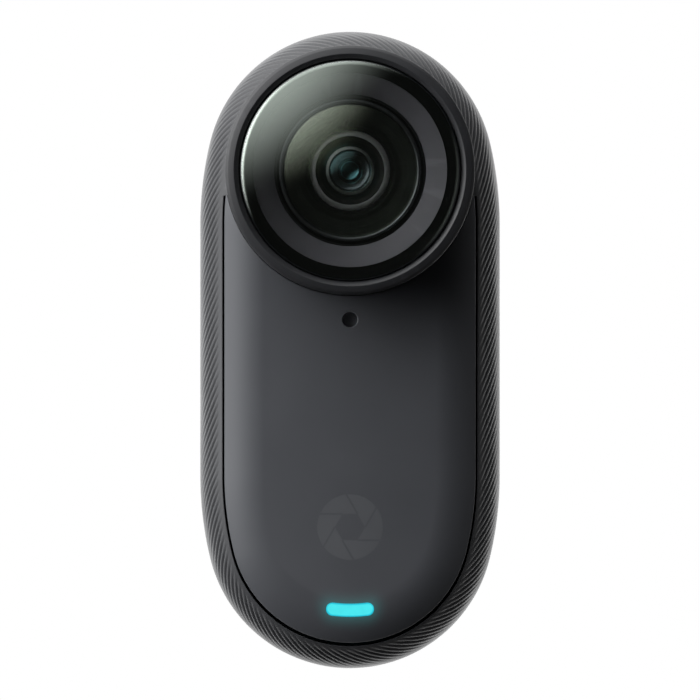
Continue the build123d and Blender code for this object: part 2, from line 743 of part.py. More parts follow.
with BuildPart() as lens_collar:
    with BuildSketch(LENS_SECTION):
        add(ring_section(COLLAR_BORE_R, COLLAR_FOOT_R, CHASSIS_FRONT, COLLAR_FOOT_TOP))
        add(ring_section(COLLAR_BORE_R, COLLAR_R, COLLAR_FOOT_TOP, COLLAR_TOP))
        add(ring_section(COLLAR_BORE_R, LENS_BOSS_R, COLLAR_TOP, BOSS_TOP))
        pocket = ring_section(COLLAR_POCKET_INNER_R, COLLAR_POCKET_OUTER_R, CHASSIS_FRONT, COLLAR_POCKET_TOP)
        add(pocket, mode=Mode.SUBTRACT)
    revolve(axis=LENS_AXIS)
    with BuildSketch(at_height(TAB_BOTTOM, LENS_Z)):
        with PolarLocations(0, LUG_COUNT, 90):
            add(arc_segment(LENS_BOSS_R - PANEL_GAP, TAB_R, TAB_ANGLE))
    extrude(amount=TAB_TOP - TAB_BOTTOM)

with BuildPart() as lens_baffle:
    with BuildSketch(LENS_SECTION):
        with BuildLine():
            Polyline(
                (BAFFLE_INNER_R, BOSS_TOP),
                (BAFFLE_OUTER_R, BOSS_TOP),
                (BAFFLE_OUTER_R, BAFFLE_OUTER_TOP),
                (BAFFLE_INNER_R, BAFFLE_INNER_TOP),
                close=True,
            )
        make_face()
    revolve(axis=LENS_AXIS)

with BuildPart() as barrel_seal:
    with BuildSketch(LENS_SECTION):
        add(ring_section(BARREL_R, COLLAR_BORE_R, BARREL_SEAL_BOTTOM, BARREL_SEAL_TOP))
    revolve(axis=LENS_AXIS)

with BuildPart() as lens_barrel:
    with BuildSketch(LENS_SECTION):
        with BuildLine():
            Polyline(
                (BORE_R, CHASSIS_FRONT),
                (BARREL_R, CHASSIS_FRONT),
                (BARREL_R, BARREL_TOP),
                (BARREL_SEAT_R, BARREL_TOP),
                (BARREL_SEAT_R, BARREL_SEAT),
                (BARREL_CONE_R, BARREL_SEAT),
                (BORE_R, BORE_TOP),
                close=True,
            )
        make_face()
    revolve(axis=LENS_AXIS)

with BuildPart() as lens_bezel:
    with BuildSketch(LENS_SECTION):
        add(ring_section(BARREL_SEAT_R, BARREL_R, BARREL_TOP, BEZEL_TOP))
    revolve(axis=LENS_AXIS)
    fillet(lens_bezel.faces().sort_by(Axis.Y)[0].edges(), BEZEL_ROUND)

with BuildPart() as lens_front_element:
    with BuildSketch(LENS_SECTION):
        add(
            hollow_dome(
                FRONT_LENS_R, BARREL_SEAT, FRONT_LENS_EDGE, FRONT_LENS_SAG, FRONT_HOLLOW_R, FRONT_HOLLOW_SAG
            )
        )
    revolve(axis=LENS_AXIS)

with BuildPart() as inner_retaining_ring:
    with BuildSketch(LENS_SECTION):
        with BuildLine():
            Polyline(
                (RETAINER_R, RETAINER_BACK),
                (STACK_R, RETAINER_BACK),
                (STACK_R, BORE_TOP),
                (RETAINER_BEVEL_R, BORE_TOP),
                (RETAINER_R, RETAINER_BEVEL_FOOT),
                close=True,
            )
        make_face()
    revolve(axis=LENS_AXIS)

with BuildPart() as second_element:
    with BuildSketch(LENS_SECTION):
        add(ring_section(0, STACK_R, SECOND_BACK, RETAINER_BACK))
        add(lens_section(SECOND_DOME_R, SECOND_BACK, RETAINER_BACK, -SECOND_DOME_SAG / 2, SECOND_DOME_SAG))
    revolve(axis=LENS_AXIS)

with BuildPart() as lens_spacer:
    with BuildSketch(LENS_SECTION):
        add(ring_section(SPACER_R, STACK_R, SPACER_BACK, SECOND_BACK))
    revolve(axis=LENS_AXIS)

with BuildPart() as third_element:
    with BuildSketch(LENS_SECTION):
        add(lens_section(STACK_R, THIRD_BACK, SPACER_BACK, -INNER_FACE_SAG, -INNER_FACE_SAG))
    revolve(axis=LENS_AXIS)

with BuildPart() as aperture_stop:
    with BuildSketch(LENS_SECTION):
        add(ring_section(STOP_R, STACK_R, STOP_BACK, THIRD_BACK))
    revolve(axis=LENS_AXIS)

with BuildPart() as fourth_element:
    with BuildSketch(LENS_SECTION):
        add(lens_section(STACK_R, FOURTH_BACK, STOP_BACK, -INNER_FACE_SAG, -INNER_FACE_SAG))
    revolve(axis=LENS_AXIS)

with BuildPart() as rear_element:
    with BuildSketch(LENS_SECTION):
        add(lens_section(STACK_R, REAR_LENS_BACK, FOURTH_BACK, -INNER_FACE_SAG, INNER_FACE_SAG / 2))
    revolve(axis=LENS_AXIS)

with BuildPart() as ir_filter:
    with BuildSketch(at_height(CHASSIS_BACK, LENS_Z)):
        Rectangle(FILTER_WIDTH, FILTER_LENGTH)
    extrude(amount=FILTER_T)

with BuildPart() as image_sensor:
    with BuildSketch(at_height(SENSOR_BOARD_BACK + SENSOR_BOARD_T, LENS_Z)):
        Rectangle(SENSOR_WIDTH, SENSOR_LENGTH)
    extrude(amount=SENSOR_T)

with BuildPart() as sensor_board:
    with BuildSketch(at_height(SENSOR_BOARD_BACK, LENS_Z)):
        Rectangle(SENSOR_BOARD_WIDTH, SENSOR_BOARD_LENGTH)
    extrude(amount=SENSOR_BOARD_T)

with BuildPart() as sensor_flex:
    with BuildSketch(Plane.YZ.offset(SENSOR_FLEX_X - SENSOR_FLEX_WIDTH / 2)):
        with BuildLine():
            Polyline(
                (-SENSOR_BOARD_BACK, SENSOR_FLEX_TOP_Z),
                (-SENSOR_BOARD_BACK, SENSOR_FLEX_Z - FLEX_T / 2),
                (-BOARD_BACK, SENSOR_FLEX_Z - FLEX_T / 2),
                (-BOARD_BACK, SENSOR_FLEX_Z + FLEX_T / 2),
                (-SENSOR_BOARD_BACK - FLEX_T, SENSOR_FLEX_Z + FLEX_T / 2),
                (-SENSOR_BOARD_BACK - FLEX_T, SENSOR_FLEX_TOP_Z),
                close=True,
            )
        make_face()
    extrude(amount=SENSOR_FLEX_WIDTH)

with BuildPart() as heat_spreader:
    with BuildSketch(at_height(SENSOR_BOARD_BACK - SPREADER_T, LENS_Z)):
        Rectangle(SPREADER_WIDTH, SPREADER_LENGTH)
    extrude(amount=SPREADER_T)

# ---- Lens guard -------------------------------------------------------------------------

with BuildPart() as bayonet_ring:
    with BuildSketch(LENS_SECTION):
        add(ring_section(BAYONET_INNER_R, BAYONET_OUTER_R, BAYONET_BOTTOM, BAYONET_TOP))
    revolve(axis=LENS_AXIS)
    with BuildSketch(at_height(LUG_BOTTOM, LENS_Z)):
        with PolarLocations(0, LUG_COUNT, 90):
            add(arc_segment(LUG_INNER_R, BAYONET_OUTER_R - PANEL_GAP, LUG_ANGLE))
    extrude(amount=LUG_TOP - LUG_BOTTOM)

with BuildPart() as guard_ring:
    with BuildSketch(LENS_SECTION):
        with BuildLine():
            Polyline(
                (GUARD_BORE_R, GUARD_BASE),
                (GUARD_R, GUARD_BASE),
                (GUARD_R, GUARD_SHOULDER),
                (GUARD_EDGE_R, GUARD_EDGE),
                (GUARD_CREST_R, GUARD_CREST),
                (GUARD_SEAT_R, GUARD_BEVEL_FOOT),
                (GUARD_SEAT_R, GUARD_LEDGE_TOP),
                (GUARD_LEDGE_R, GUARD_LEDGE_TOP),
                (GUARD_LEDGE_R, GUARD_LEDGE_BOTTOM),
                (GUARD_BORE_R, GUARD_LEDGE_FOOT),
                close=True,
            )
        make_face()
    revolve(axis=LENS_AXIS)

with BuildPart() as guard_glass:
    with BuildSketch(LENS_SECTION):
        add(hollow_dome(GLASS_R, GLASS_BACK, GLASS_EDGE, GLASS_SAG, GLASS_HOLLOW_R, GLASS_HOLLOW_SAG))
    revolve(axis=LENS_AXIS)

with BuildPart() as guard_mask:
    with BuildSketch(LENS_SECTION):
        add(ring_section(MASK_INNER_R, GLASS_R, GLASS_BACK - MASK_T, GLASS_BACK))
    revolve(axis=LENS_AXIS)

with BuildPart() as guard_seal:
    with BuildSketch(LENS_SECTION):
        add(ring_section(GUARD_LEDGE_R, GLASS_R, GUARD_LEDGE_TOP, GLASS_BACK - MASK_T))
    revolve(axis=LENS_AXIS)

# ---- Labels and files -------------------------------------------------------------------

PIECES = {
    "rear_shell": rear_shell,
    "rear_plate": rear_plate,
    "rear_plate_gasket": rear_plate_gasket,
    "contact_pads": contact_pads,
    "contact_board": contact_board,
    "back_magnets": back_magnets,
    "rear_light_window": rear_light_window,
    "rear_led": rear_led,
    "rear_mic_mesh": rear_mic_mesh,
    "rear_microphone": rear_microphone,
    "chassis": chassis,
    "panel_gasket": panel_gasket,
    "panel_hinge_pins": panel_hinge_pins,
    "main_board": main_board,
    "board_screws": board_screws,
    "processor_shield": processor_shield,
    "board_chips": board_chips,
    "battery_cell": battery_cell,
    "battery_lead": battery_lead,
    "haptic_motor": haptic_motor,
    "wifi_antenna": wifi_antenna,
    "front_microphone": front_microphone,
    "front_led": front_led,
    "front_panel": front_panel,
    "emblem_inlay": emblem_inlay,
    "front_light_pipe": front_light_pipe,
    "front_mic_mesh": front_mic_mesh,
    "shutter_switch": shutter_switch,
    "shutter_plunger": shutter_plunger,
    "power_button": power_button,
    "power_button_seal": power_button_seal,
    "power_switch": power_switch,
    "power_plunger": power_plunger,
    "lens_collar": lens_collar,
    "lens_baffle": lens_baffle,
    "barrel_seal": barrel_seal,
    "lens_barrel": lens_barrel,
    "lens_bezel": lens_bezel,
    "lens_front_element": lens_front_element,
    "inner_retaining_ring": inner_retaining_ring,
    "second_element": second_element,
    "lens_spacer": lens_spacer,
    "third_element": third_element,
    "aperture_stop": aperture_stop,
    "fourth_element": fourth_element,
    "rear_element": rear_element,
    "ir_filter": ir_filter,
    "image_sensor": image_sensor,
    "sensor_board": sensor_board,
    "sensor_flex": sensor_flex,
    "heat_spreader": heat_spreader,
    "bayonet_ring": bayonet_ring,
    "guard_ring": guard_ring,
    "guard_glass": guard_glass,
    "guard_mask": guard_mask,
    "guard_seal": guard_seal,
}

os.makedirs("parts", exist_ok=True)
for name, piece in PIECES.items():
    piece.part.label = name
    export_step(piece.part, f"parts/{name}.step")
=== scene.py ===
from math import acos, asin, atan2, cos, hypot, pi, radians, sin, sqrt

import bmesh
import bpy
from mathutils import Matrix, Vector


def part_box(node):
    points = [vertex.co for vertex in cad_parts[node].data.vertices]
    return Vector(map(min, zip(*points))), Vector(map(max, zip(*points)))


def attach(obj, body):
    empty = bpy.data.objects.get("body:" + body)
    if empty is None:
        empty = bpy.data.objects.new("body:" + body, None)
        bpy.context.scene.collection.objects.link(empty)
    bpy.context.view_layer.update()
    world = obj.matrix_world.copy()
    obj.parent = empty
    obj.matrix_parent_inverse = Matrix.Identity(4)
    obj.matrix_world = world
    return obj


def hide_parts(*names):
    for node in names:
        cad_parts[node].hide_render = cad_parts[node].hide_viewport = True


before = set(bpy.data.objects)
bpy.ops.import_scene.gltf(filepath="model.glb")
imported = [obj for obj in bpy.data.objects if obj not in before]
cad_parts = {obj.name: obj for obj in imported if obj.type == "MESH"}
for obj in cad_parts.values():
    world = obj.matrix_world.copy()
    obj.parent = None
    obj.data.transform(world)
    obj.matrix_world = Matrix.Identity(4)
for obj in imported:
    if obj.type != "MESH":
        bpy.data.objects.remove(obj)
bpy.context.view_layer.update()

# Action camera, seen from the front. Inside this script a point of the body is given in
# millimetres as (x, height, z), where height is the distance forward of the flat back.

MM = 0.001

# ---- Sizes taken from the frame ---------------------------------------------------------


def box_mm(node):
    """Lowest and highest corner of a CAD node as (x, height, z), in millimetres."""
    low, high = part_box(node)
    return Vector((low.x, -high.y, low.z)) / MM, Vector((high.x, -low.y, high.z)) / MM


_, SHELL_HIGH = box_mm("rear_shell")
_, PLATE_HIGH = box_mm("rear_plate")
GUARD_LOW, GUARD_HIGH = box_mm("guard_ring")
GLASS_LOW, GLASS_HIGH = box_mm("guard_glass")
COLLAR_LOW, COLLAR_HIGH = box_mm("lens_collar")
BAFFLE_LOW, BAFFLE_HIGH = box_mm("lens_baffle")
BARREL_LOW, BARREL_HIGH = box_mm("lens_barrel")
BEZEL_LOW, BEZEL_HIGH = box_mm("lens_bezel")
DOME_LOW, DOME_HIGH = box_mm("lens_front_element")
RETAINER_LOW, RETAINER_HIGH = box_mm("inner_retaining_ring")
SECOND_LOW, SECOND_HIGH = box_mm("second_element")
SPACER_LOW, SPACER_HIGH = box_mm("lens_spacer")
THIRD_LOW, THIRD_HIGH = box_mm("third_element")
PANEL_LOW, PANEL_HIGH = box_mm("front_panel")
LIGHT_LOW, LIGHT_HIGH = box_mm("front_light_pipe")
MIC_LOW, MIC_HIGH = box_mm("front_mic_mesh")
EMBLEM_LOW, EMBLEM_HIGH = box_mm("emblem_inlay")

HALF_WIDTH = SHELL_HIGH.x
HALF_HEIGHT = SHELL_HIGH.z
LENS_Z = (GUARD_LOW.z + GUARD_HIGH.z) / 2
GUARD_R = GUARD_HIGH.x
GLASS_R = GLASS_HIGH.x
BODY_DEPTH = PANEL_HIGH.y
PANEL_INSET = HALF_WIDTH - PANEL_HIGH.x
PANEL_FOOT = PANEL_LOW.y
MIC_Z = (MIC_LOW.z + MIC_HIGH.z) / 2

# ---- Shape of the body, as in the frame -------------------------------------------------

END_R = 12.3
EASE_R = 30.0
CROWN_R = 80.0
FRONT_EDGE_R = 6.0
BACK_EDGE_R = 3.5
SIDE_WALL = 1.5
BACK_WALL = 2.0
SEAM = 0.15
RIM_INSET = PANEL_INSET - SEAM
LEDGE_HEIGHT = 11.8
PLATE_GAP = 0.05
PLATE_INSET = HALF_WIDTH - PLATE_HIGH.x - PLATE_GAP
PLATE_STEP_INSET = 5.0
PLATE_STEP = 1.0
COLLAR_R = COLLAR_HIGH.x
COLLAR_BORE_R = COLLAR_R + 0.03
PANEL_CUT_R = 10.7
PANEL_SKIRT = 1.12
PANEL_CEILING = 14.6
PANEL_BOTTOM_GAP = 0.13
MIC_HOLE_R = 0.63
LIGHT_CAP_R = 0.55
LIGHT_BEND_R = 12.0
POWER_HEIGHT = 6.7
POWER_WIDTH = 6.0
POWER_LENGTH = 2.4
POWER_FIT = 0.1

END_Z = HALF_HEIGHT - END_R
EASE_X = EASE_R - HALF_WIDTH
SHOULDER_Z = END_Z - sqrt((EASE_R - END_R) ** 2 - EASE_X**2)
EASE_ANGLE = atan2(END_Z - SHOULDER_Z, EASE_X)

# The stretches of the outline, counter-clockwise seen from the front. A straight one is
# ("line", start, direction, length); a curved one is ("arc", centre, radius, first angle, turn).
STRAIGHT = 2 * SHOULDER_Z
OUTLINE = [
    ("line", (HALF_WIDTH, -SHOULDER_Z), (0, 1), STRAIGHT),
    ("arc", (-EASE_X, SHOULDER_Z), EASE_R, 0, EASE_ANGLE),
    ("arc", (0, END_Z), END_R, EASE_ANGLE, pi - 2 * EASE_ANGLE),
    ("arc", (EASE_X, SHOULDER_Z), EASE_R, pi - EASE_ANGLE, EASE_ANGLE),
    ("line", (-HALF_WIDTH, SHOULDER_Z), (0, -1), STRAIGHT),
    ("arc", (EASE_X, -SHOULDER_Z), EASE_R, pi, EASE_ANGLE),
    ("arc", (0, -END_Z), END_R, pi + EASE_ANGLE, pi - 2 * EASE_ANGLE),
    ("arc", (-EASE_X, -SHOULDER_Z), EASE_R, 2 * pi - EASE_ANGLE, EASE_ANGLE),
]


def stretch_length(stretch):
    """Length of one stretch of the outline."""
    return stretch[3] if stretch[0] == "line" else stretch[2] * stretch[4]


PERIMETER = sum(stretch_length(stretch) for stretch in OUTLINE)


def outline_at(distance, inset=0.0):
    """Point (x, z) and outward normal of the outline, moved inwards, at a distance along it."""
    distance %= PERIMETER
    for stretch in OUTLINE:
        length = stretch_length(stretch)
        if distance <= length:
            break
        distance -= length
    if stretch[0] == "line":
        _, start, direction, _ = stretch
        normal = (direction[1], -direction[0])
        x = start[0] + direction[0] * distance
        z = start[1] + direction[1] * distance
    else:
        _, centre, radius, first_angle, _ = stretch
        angle = first_angle + distance / radius
        normal = (cos(angle), sin(angle))
        x = centre[0] + radius * normal[0]
        z = centre[1] + radius * normal[1]
    return x - inset * normal[0], z - inset * normal[1], normal


def edge_centre(distance):
    """Height of the centre of the front edge's rounding: it touches the side and the crown."""
    x, _, _ = outline_at(distance, FRONT_EDGE_R)
    return BODY_DEPTH - CROWN_R + sqrt((CROWN_R - FRONT_EDGE_R) ** 2 - x**2)


def crown_height(x):
    """Height of the gentle curve across the front."""
    return BODY_DEPTH - CROWN_R + sqrt(CROWN_R**2 - x**2)


def crown_inset(distance):
    """Inset at which the rounded front edge meets the crown."""
    x, _, normal = outline_at(distance, FRONT_EDGE_R)
    return FRONT_EDGE_R * (1 - abs(normal[0] * x) / (CROWN_R - FRONT_EDGE_R))


def front_height(distance, inset):
    """Height of the body's front surface over a point given by outline distance and inset."""
    if inset >= crown_inset(distance):
        return crown_height(outline_at(distance, inset)[0])
    return edge_centre(distance) + sqrt(FRONT_EDGE_R**2 - (FRONT_EDGE_R - inset) ** 2)


def outline_normal(x, z):
    """Inset of a point inside the outline, and the outline's outward normal next to it."""
    side, end = (1 if x >= 0 else -1), (1 if z >= 0 else -1)
    if abs(z) <= SHOULDER_Z:
        return HALF_WIDTH - abs(x), (side, 0)
    across, along = abs(x) + EASE_X, abs(z) - SHOULDER_Z
    reach = EASE_R
    if atan2(along, across) > EASE_ANGLE:
        across, along, reach = abs(x), abs(z) - END_Z, END_R
    length = hypot(across, along)
    return reach - length, (side * across / length, end * along / length)


def front_normal(x, z):
    """Outward normal (x, height, z) of the body's front surface over a point."""
    inset, normal = outline_normal(x, z)
    centre_x = x - normal[0] * (FRONT_EDGE_R - inset)
    if inset >= FRONT_EDGE_R * (1 - abs(normal[0] * centre_x) / (CROWN_R - FRONT_EDGE_R)):
        return Vector((x / CROWN_R, sqrt(1 - (x / CROWN_R) ** 2), 0))
    out = (FRONT_EDGE_R - inset) / FRONT_EDGE_R
    return Vector((normal[0] * out, sqrt(1 - out**2), normal[1] * out))


# ---- Mesh helpers -----------------------------------------------------------------------

SHARP_ANGLE = radians(38)
ON_AXIS = 1e-6               # a point nearer to the lens axis than this lies on it
CORNER_SHARE = 0.45          # most of a side that the rounding of one corner takes up
SURFACE_MATCH = 0.998        # least agreement of two normals on the same surface


def make_mesh(name, verts, faces):
    """Mesh of (x, height, z) points in millimetres, with its faces turned outwards."""
    mesh = bpy.data.meshes.new(name)
    mesh.from_pydata([(x * MM, -height * MM, z * MM) for x, height, z in verts], [], faces)
    mesh.validate()
    bm = bmesh.new()
    bm.from_mesh(mesh)
    bmesh.ops.recalc_face_normals(bm, faces=bm.faces)
    bm.to_mesh(mesh)
    bm.free()
    return mesh


def add_object(name, data):
    """New object in the scene that shows the given data."""
    added = bpy.data.objects.new(name, data)
    bpy.context.scene.collection.objects.link(added)
    return added


def shade(mesh):
    """Smooth shading with a crease wherever the surface turns sharply."""
    mesh.shade_smooth()
    mesh.set_sharp_from_angle(angle=SHARP_ANGLE)


def finish_piece(name, verts, faces, body, material, nodes, inner=None, inner_faces=()):
    """Make a piece from millimetre points, shade it, give it its material, tie it to its body, and hide its
    CAD nodes.

    The faces numbered in inner_faces take the inner material.
    """
    mesh = make_mesh(name, verts, faces)
    for index in inner_faces:
        mesh.polygons[index].material_index = 1
    shade(mesh)
    piece = add_object(name, mesh)
    mesh.materials.append(material)
    if inner:
        mesh.materials.append(inner)
    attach(piece, body)
    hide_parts(*nodes)
    return piece


def loop_faces(columns, rows, offset):
    """Faces of a tube that closes both ways; offset joins the last row to the first shifted."""
    faces = []
    for j in range(rows):
        shift = offset if j == rows - 1 else 0
        for i in range(columns):
            a = i * rows + j
            b = (i + 1) % columns * rows + j
            c = (i + 1 + shift) % columns * rows + (j + 1) % rows
            d = (i + shift) % columns * rows + (j + 1) % rows
            faces.append((a, b, c, d))
    return faces


def soften(points, radius, steps=4):
    """Round the corners of a closed profile of (radius, height) points."""
    rounded = []
    for i, corner in enumerate(points):
        corner = Vector(corner)
        if corner.x < ON_AXIS:
            rounded.append(tuple(corner))
            continue
        before = Vector(points[i - 1]) - corner
        after = Vector(points[(i + 1) % len(points)]) - corner
        reach = min(radius, before.length * CORNER_SHARE, after.length * CORNER_SHARE)
        start = corner + before.normalized() * reach
        end = corner + after.normalized() * reach
        for k in range(steps + 1):
            t = k / steps
            rounded.append(tuple(start.lerp(corner, t).lerp(corner.lerp(end, t), t)))
    return rounded


def lathe(name, profile, body, material, nodes, segments, inner=None, inner_from=None):
    """Turn a closed profile of (radius, height) points about the lens axis.

    From the point numbered inner_from on, the surface takes the inner material.
    """
    verts = []
    faces = []
    inner_faces = []
    columns = []
    on_axis = {}
    for j, (radius, height) in enumerate(profile):
        if radius < ON_AXIS:
            on_axis[j] = len(verts)
            verts.append((0, height, LENS_Z))
    for i in range(segments):
        angle = 2 * pi * i / segments
        column = []
        for j, (radius, height) in enumerate(profile):
            if j in on_axis:
                column.append(on_axis[j])
                continue
            column.append(len(verts))
            verts.append((radius * cos(angle), height, LENS_Z + radius * sin(angle)))
        columns.append(column)
    for i in range(segments):
        left, right = columns[i], columns[(i + 1) % segments]
        for j in range(len(profile)):
            k = (j + 1) % len(profile)
            corners = [left[j], right[j], right[k], left[k]]
            face = [v for n, v in enumerate(corners) if v not in corners[:n]]
            if len(face) > 2:
                if inner and j >= inner_from:
                    inner_faces.append(len(faces))
                faces.append(face)
    return finish_piece(name, verts, faces, body, material, nodes, inner, inner_faces)


def open_back(piece):
    """Take away a glass element's inner faces, which no view shows, so light crosses it once."""
    bm = bmesh.new()
    bm.from_mesh(piece.data)
    back = [face for face in bm.faces if face.material_index == 1]
    bmesh.ops.delete(bm, geom=back, context="FACES")
    bm.to_mesh(piece.data)
    bm.free()


def cap(edge, height, sag, steps):
    """Spherical face from the axis out to its edge; a negative sag is a hollow face."""
    sphere = (edge**2 + sag**2) / (2 * abs(sag))
    side = 1 if sag > 0 else -1
    widest = asin(edge / sphere)
    points = []
    for k in range(steps + 1):
        angle = widest * k / steps
        points.append((sphere * sin(angle), height + sag - side * sphere * (1 - cos(angle))))
    return points


def steps_down(top, steps, width):
    """Flat steps down the inside of a ring, each given by its outer radius and its depth."""
    points = []
    for radius, depth in steps:
        points += [(radius, top - depth), (radius - width, top - depth)]
    return points


def cut(piece, cutter):
    """Subtract a cutter from a piece, apply it, and remove the cutter."""
    modifier = piece.modifiers.new("cut", "BOOLEAN")
    modifier.object = cutter
    modifier.operation = "DIFFERENCE"
    modifier.solver = "EXACT"
    graph = bpy.context.evaluated_depsgraph_get()
    mesh = bpy.data.meshes.new_from_object(piece.evaluated_get(graph))
    piece.modifiers.clear()
    old = piece.data
    piece.data = mesh
    bpy.data.meshes.remove(old)
    bpy.data.objects.remove(cutter)
    shade(mesh)


def prism(outline, back, front, flare=0.0):
    """Plain cutting block: an outline of (x, z) points between two heights.

    A flare is a 45 degree chamfer that makes the front end that much wider.
    """
    levels = [(back, 0.0), (front, flare)]
    if flare:
        levels.insert(1, (front - flare, 0.0))
    centre = [sum(p[k] for p in outline) / len(outline) for k in (0, 1)]
    verts = []
    for height, grow in levels:
        for x, z in outline:
            across, along = x - centre[0], z - centre[1]
            scale = 1 + grow / hypot(across, along)
            verts.append((centre[0] + across * scale, height, centre[1] + along * scale))
    n = len(outline)
    faces = [tuple(range(n)), tuple(range((len(levels) - 1) * n, len(levels) * n))]
    for level in range(len(levels) - 1):
        for i in range(n):
            k = (i + 1) % n
            faces.append((level * n + i, level * n + k, (level + 1) * n + k, (level + 1) * n + i))
    return add_object("cutter", make_mesh("cutter", verts, faces))


def arc(x, z, radius, first, turn, steps=16):
    """Points (x, z) along an arc about a centre, with both of its ends."""
    angles = [first + turn * k / steps for k in range(steps + 1)]
    return [(x + radius * cos(angle), z + radius * sin(angle)) for angle in angles]


def circle(x, z, radius, count=96):
    """Points (x, z) round a circle."""
    return arc(x, z, radius, 0, 2 * pi, count)[:-1]


def light_outline(grow):
    """Outline (x, z) of the status light: a rounded slot bent like the end of the body."""
    cap_r = LIGHT_CAP_R + grow
    span = ((LIGHT_HIGH.x - LIGHT_LOW.x) / 2 - LIGHT_CAP_R) / LIGHT_BEND_R
    centre_z = LIGHT_LOW.z + LIGHT_CAP_R + LIGHT_BEND_R
    left, right = -pi / 2 - span, -pi / 2 + span
    cap_x = LIGHT_BEND_R * sin(span)
    cap_z = centre_z - LIGHT_BEND_R * cos(span)
    points = arc(0, centre_z, LIGHT_BEND_R + cap_r, left, 2 * span)
    points += arc(cap_x, cap_z, cap_r, right, pi)[1:-1]
    points += arc(0, centre_z, LIGHT_BEND_R - cap_r, right, -2 * span)
    points += arc(-cap_x, cap_z, cap_r, left + pi, pi)[1:-1]
    return points


def true_normals(piece):
    """Give the faces on the body's front surface the exact normals of that surface."""
    mesh = piece.data
    normals = [Vector()] * len(mesh.loops)
    for polygon in mesh.polygons:
        middle = polygon.center / MM
        expected = front_normal(middle.x, middle.z)
        if polygon.normal.dot(Vector((expected.x, -expected.y, expected.z))) < SURFACE_MATCH:
            continue
        for index in polygon.loop_indices:
            point = mesh.vertices[mesh.loops[index].vertex_index].co / MM
            exact = front_normal(point.x, point.z)
            normals[index] = Vector((exact.x, -exact.y, exact.z))
    mesh.normals_split_custom_set(normals)


# ---- Materials --------------------------------------------------------------------------

NOISE_LOW, NOISE_HIGH = 0.3, 0.7      # between these lie most values of a noise
SMEAR_LOW, SMEAR_HIGH = 0.35, 0.65
GRAIN_DEPTH = 0.000004                # in metres, like every bump distance here
MOTTLE = 0.10                         # share by which the colour wanders
WEAR_START, WEAR_END = 0.52, 0.60     # pointiness of the edges that are rubbed lighter
WEAR_SHARE = 0.35
WEAR_TONE = 1.7
RING_SCALE = 16000.0
LIGHT_RIM = 0.16                      # width of the deeper blue round the status light, in mm

PANEL_ROUGHNESS = 0.42
# painted glow: emission on the panel round the status light, not light cast by the lamp
PAINTED_GLOW_REACH = 1.5
PAINTED_GLOW_FALL = 2.4
PAINTED_GLOW_STRENGTH = 0.09


def linear(red, green, blue):
    """Linear colour of an 8-bit display colour."""
    def channel(value):
        value /= 255
        return value / 12.92 if value <= 0.04045 else ((value + 0.055) / 1.055) ** 2.4

    return (channel(red), channel(green), channel(blue), 1.0)


def tone(colour, factor):
    """A colour made lighter or darker."""
    return (*[c * factor for c in colour[:3]], 1.0)


PANEL_COLOUR = linear(87, 89, 94)
SHELL_COLOUR = linear(66, 67, 70)
LIGHT_COLOUR = linear(76, 235, 243)
LIGHT_RIM_COLOUR = linear(28, 190, 214)
# colour of the painted glow that the panel emits round the status light
PAINTED_GLOW_COLOUR = linear(60, 215, 215)


class Graph:
    """Small helper that adds and links the nodes of one material, or of the world."""

    def __init__(self, name, world=False):
        self.owner = (bpy.data.worlds if world else bpy.data.materials).new(name)
        self.owner.use_nodes = True
        self.tree = self.owner.node_tree
        self.tree.nodes.clear()
        self.output = self.add("ShaderNodeOutputWorld" if world else "ShaderNodeOutputMaterial")

    def add(self, kind, inputs=None, **settings):
        node = self.tree.nodes.new(kind)
        for key, value in settings.items():
            setattr(node, key, value)
        for key, value in (inputs or {}).items():
            if isinstance(value, bpy.types.NodeSocket):
                self.tree.links.new(value, node.inputs[key])
            else:
                node.inputs[key].default_value = value
        return node

    def object_coords(self):
        return self.add("ShaderNodeTexCoord").outputs["Object"]

    def noise(self, vector, scale, detail):
        inputs = {"Vector": vector, "Scale": scale, "Detail": detail}
        return self.add("ShaderNodeTexNoise", inputs).outputs["Fac"]

    def remap(self, value, low, high, to_low, to_high):
        inputs = {"Value": value, "From Min": low, "From Max": high, "To Min": to_low, "To Max": to_high}
        return self.add("ShaderNodeMapRange", inputs, clamp=True).outputs["Result"]

    def vary(self, noise, low, high):
        return self.remap(noise, NOISE_LOW, NOISE_HIGH, low, high)

    def math(self, operation, first, second=0.0):
        return self.add("ShaderNodeMath", {0: first, 1: second}, operation=operation).outputs[0]

    def vector_math(self, operation, first, second=(0, 0, 0)):
        return self.add("ShaderNodeVectorMath", {0: first, 1: second}, operation=operation)

    def length(self, vector):
        return self.vector_math("LENGTH", vector).outputs["Value"]

    def blend(self, factor, first, second):
        inputs = {"Factor": factor, 6: first, 7: second}
        return self.add("ShaderNodeMix", inputs, data_type="RGBA").outputs[2]

    def bump(self, height, strength, distance):
        inputs = {"Height": height, "Strength": strength, "Distance": distance}
        return self.add("ShaderNodeBump", inputs).outputs["Normal"]

    def surface(self, shader):
        self.tree.links.new(shader, self.output.inputs["Surface"])
        return self.owner

    def principled(self, inputs):
        return self.surface(self.add("ShaderNodeBsdfPrincipled", inputs).outputs["BSDF"])

    def mix(self, factor, first, second):
        inputs = {0: factor, 1: first, 2: second}
        return self.surface(self.add("ShaderNodeMixShader", inputs).outputs[0])

    def coated(self, below, reflection, roughness, head_on):
        """Tinted reflections over another shader: head_on straight at it, all at grazing."""
        gloss = self.add("ShaderNodeBsdfAnisotropic", {"Color": reflection, "Roughness": roughness})
        facing = self.add("ShaderNodeLayerWeight", {"Blend": 0.5}).outputs["Facing"]
        grazing = self.math("MULTIPLY", self.math("POWER", facing, 5.0), 1 - head_on)
        return self.mix(self.math("ADD", grazing, head_on), below, gloss.outputs[0])

    def hide_from_camera(self, shader, backdrop):
        """The camera's own rays see the backdrop, and every other ray the shader."""
        seen = self.add("ShaderNodeLightPath").outputs["Is Camera Ray"]
        return self.mix(seen, shader, backdrop)


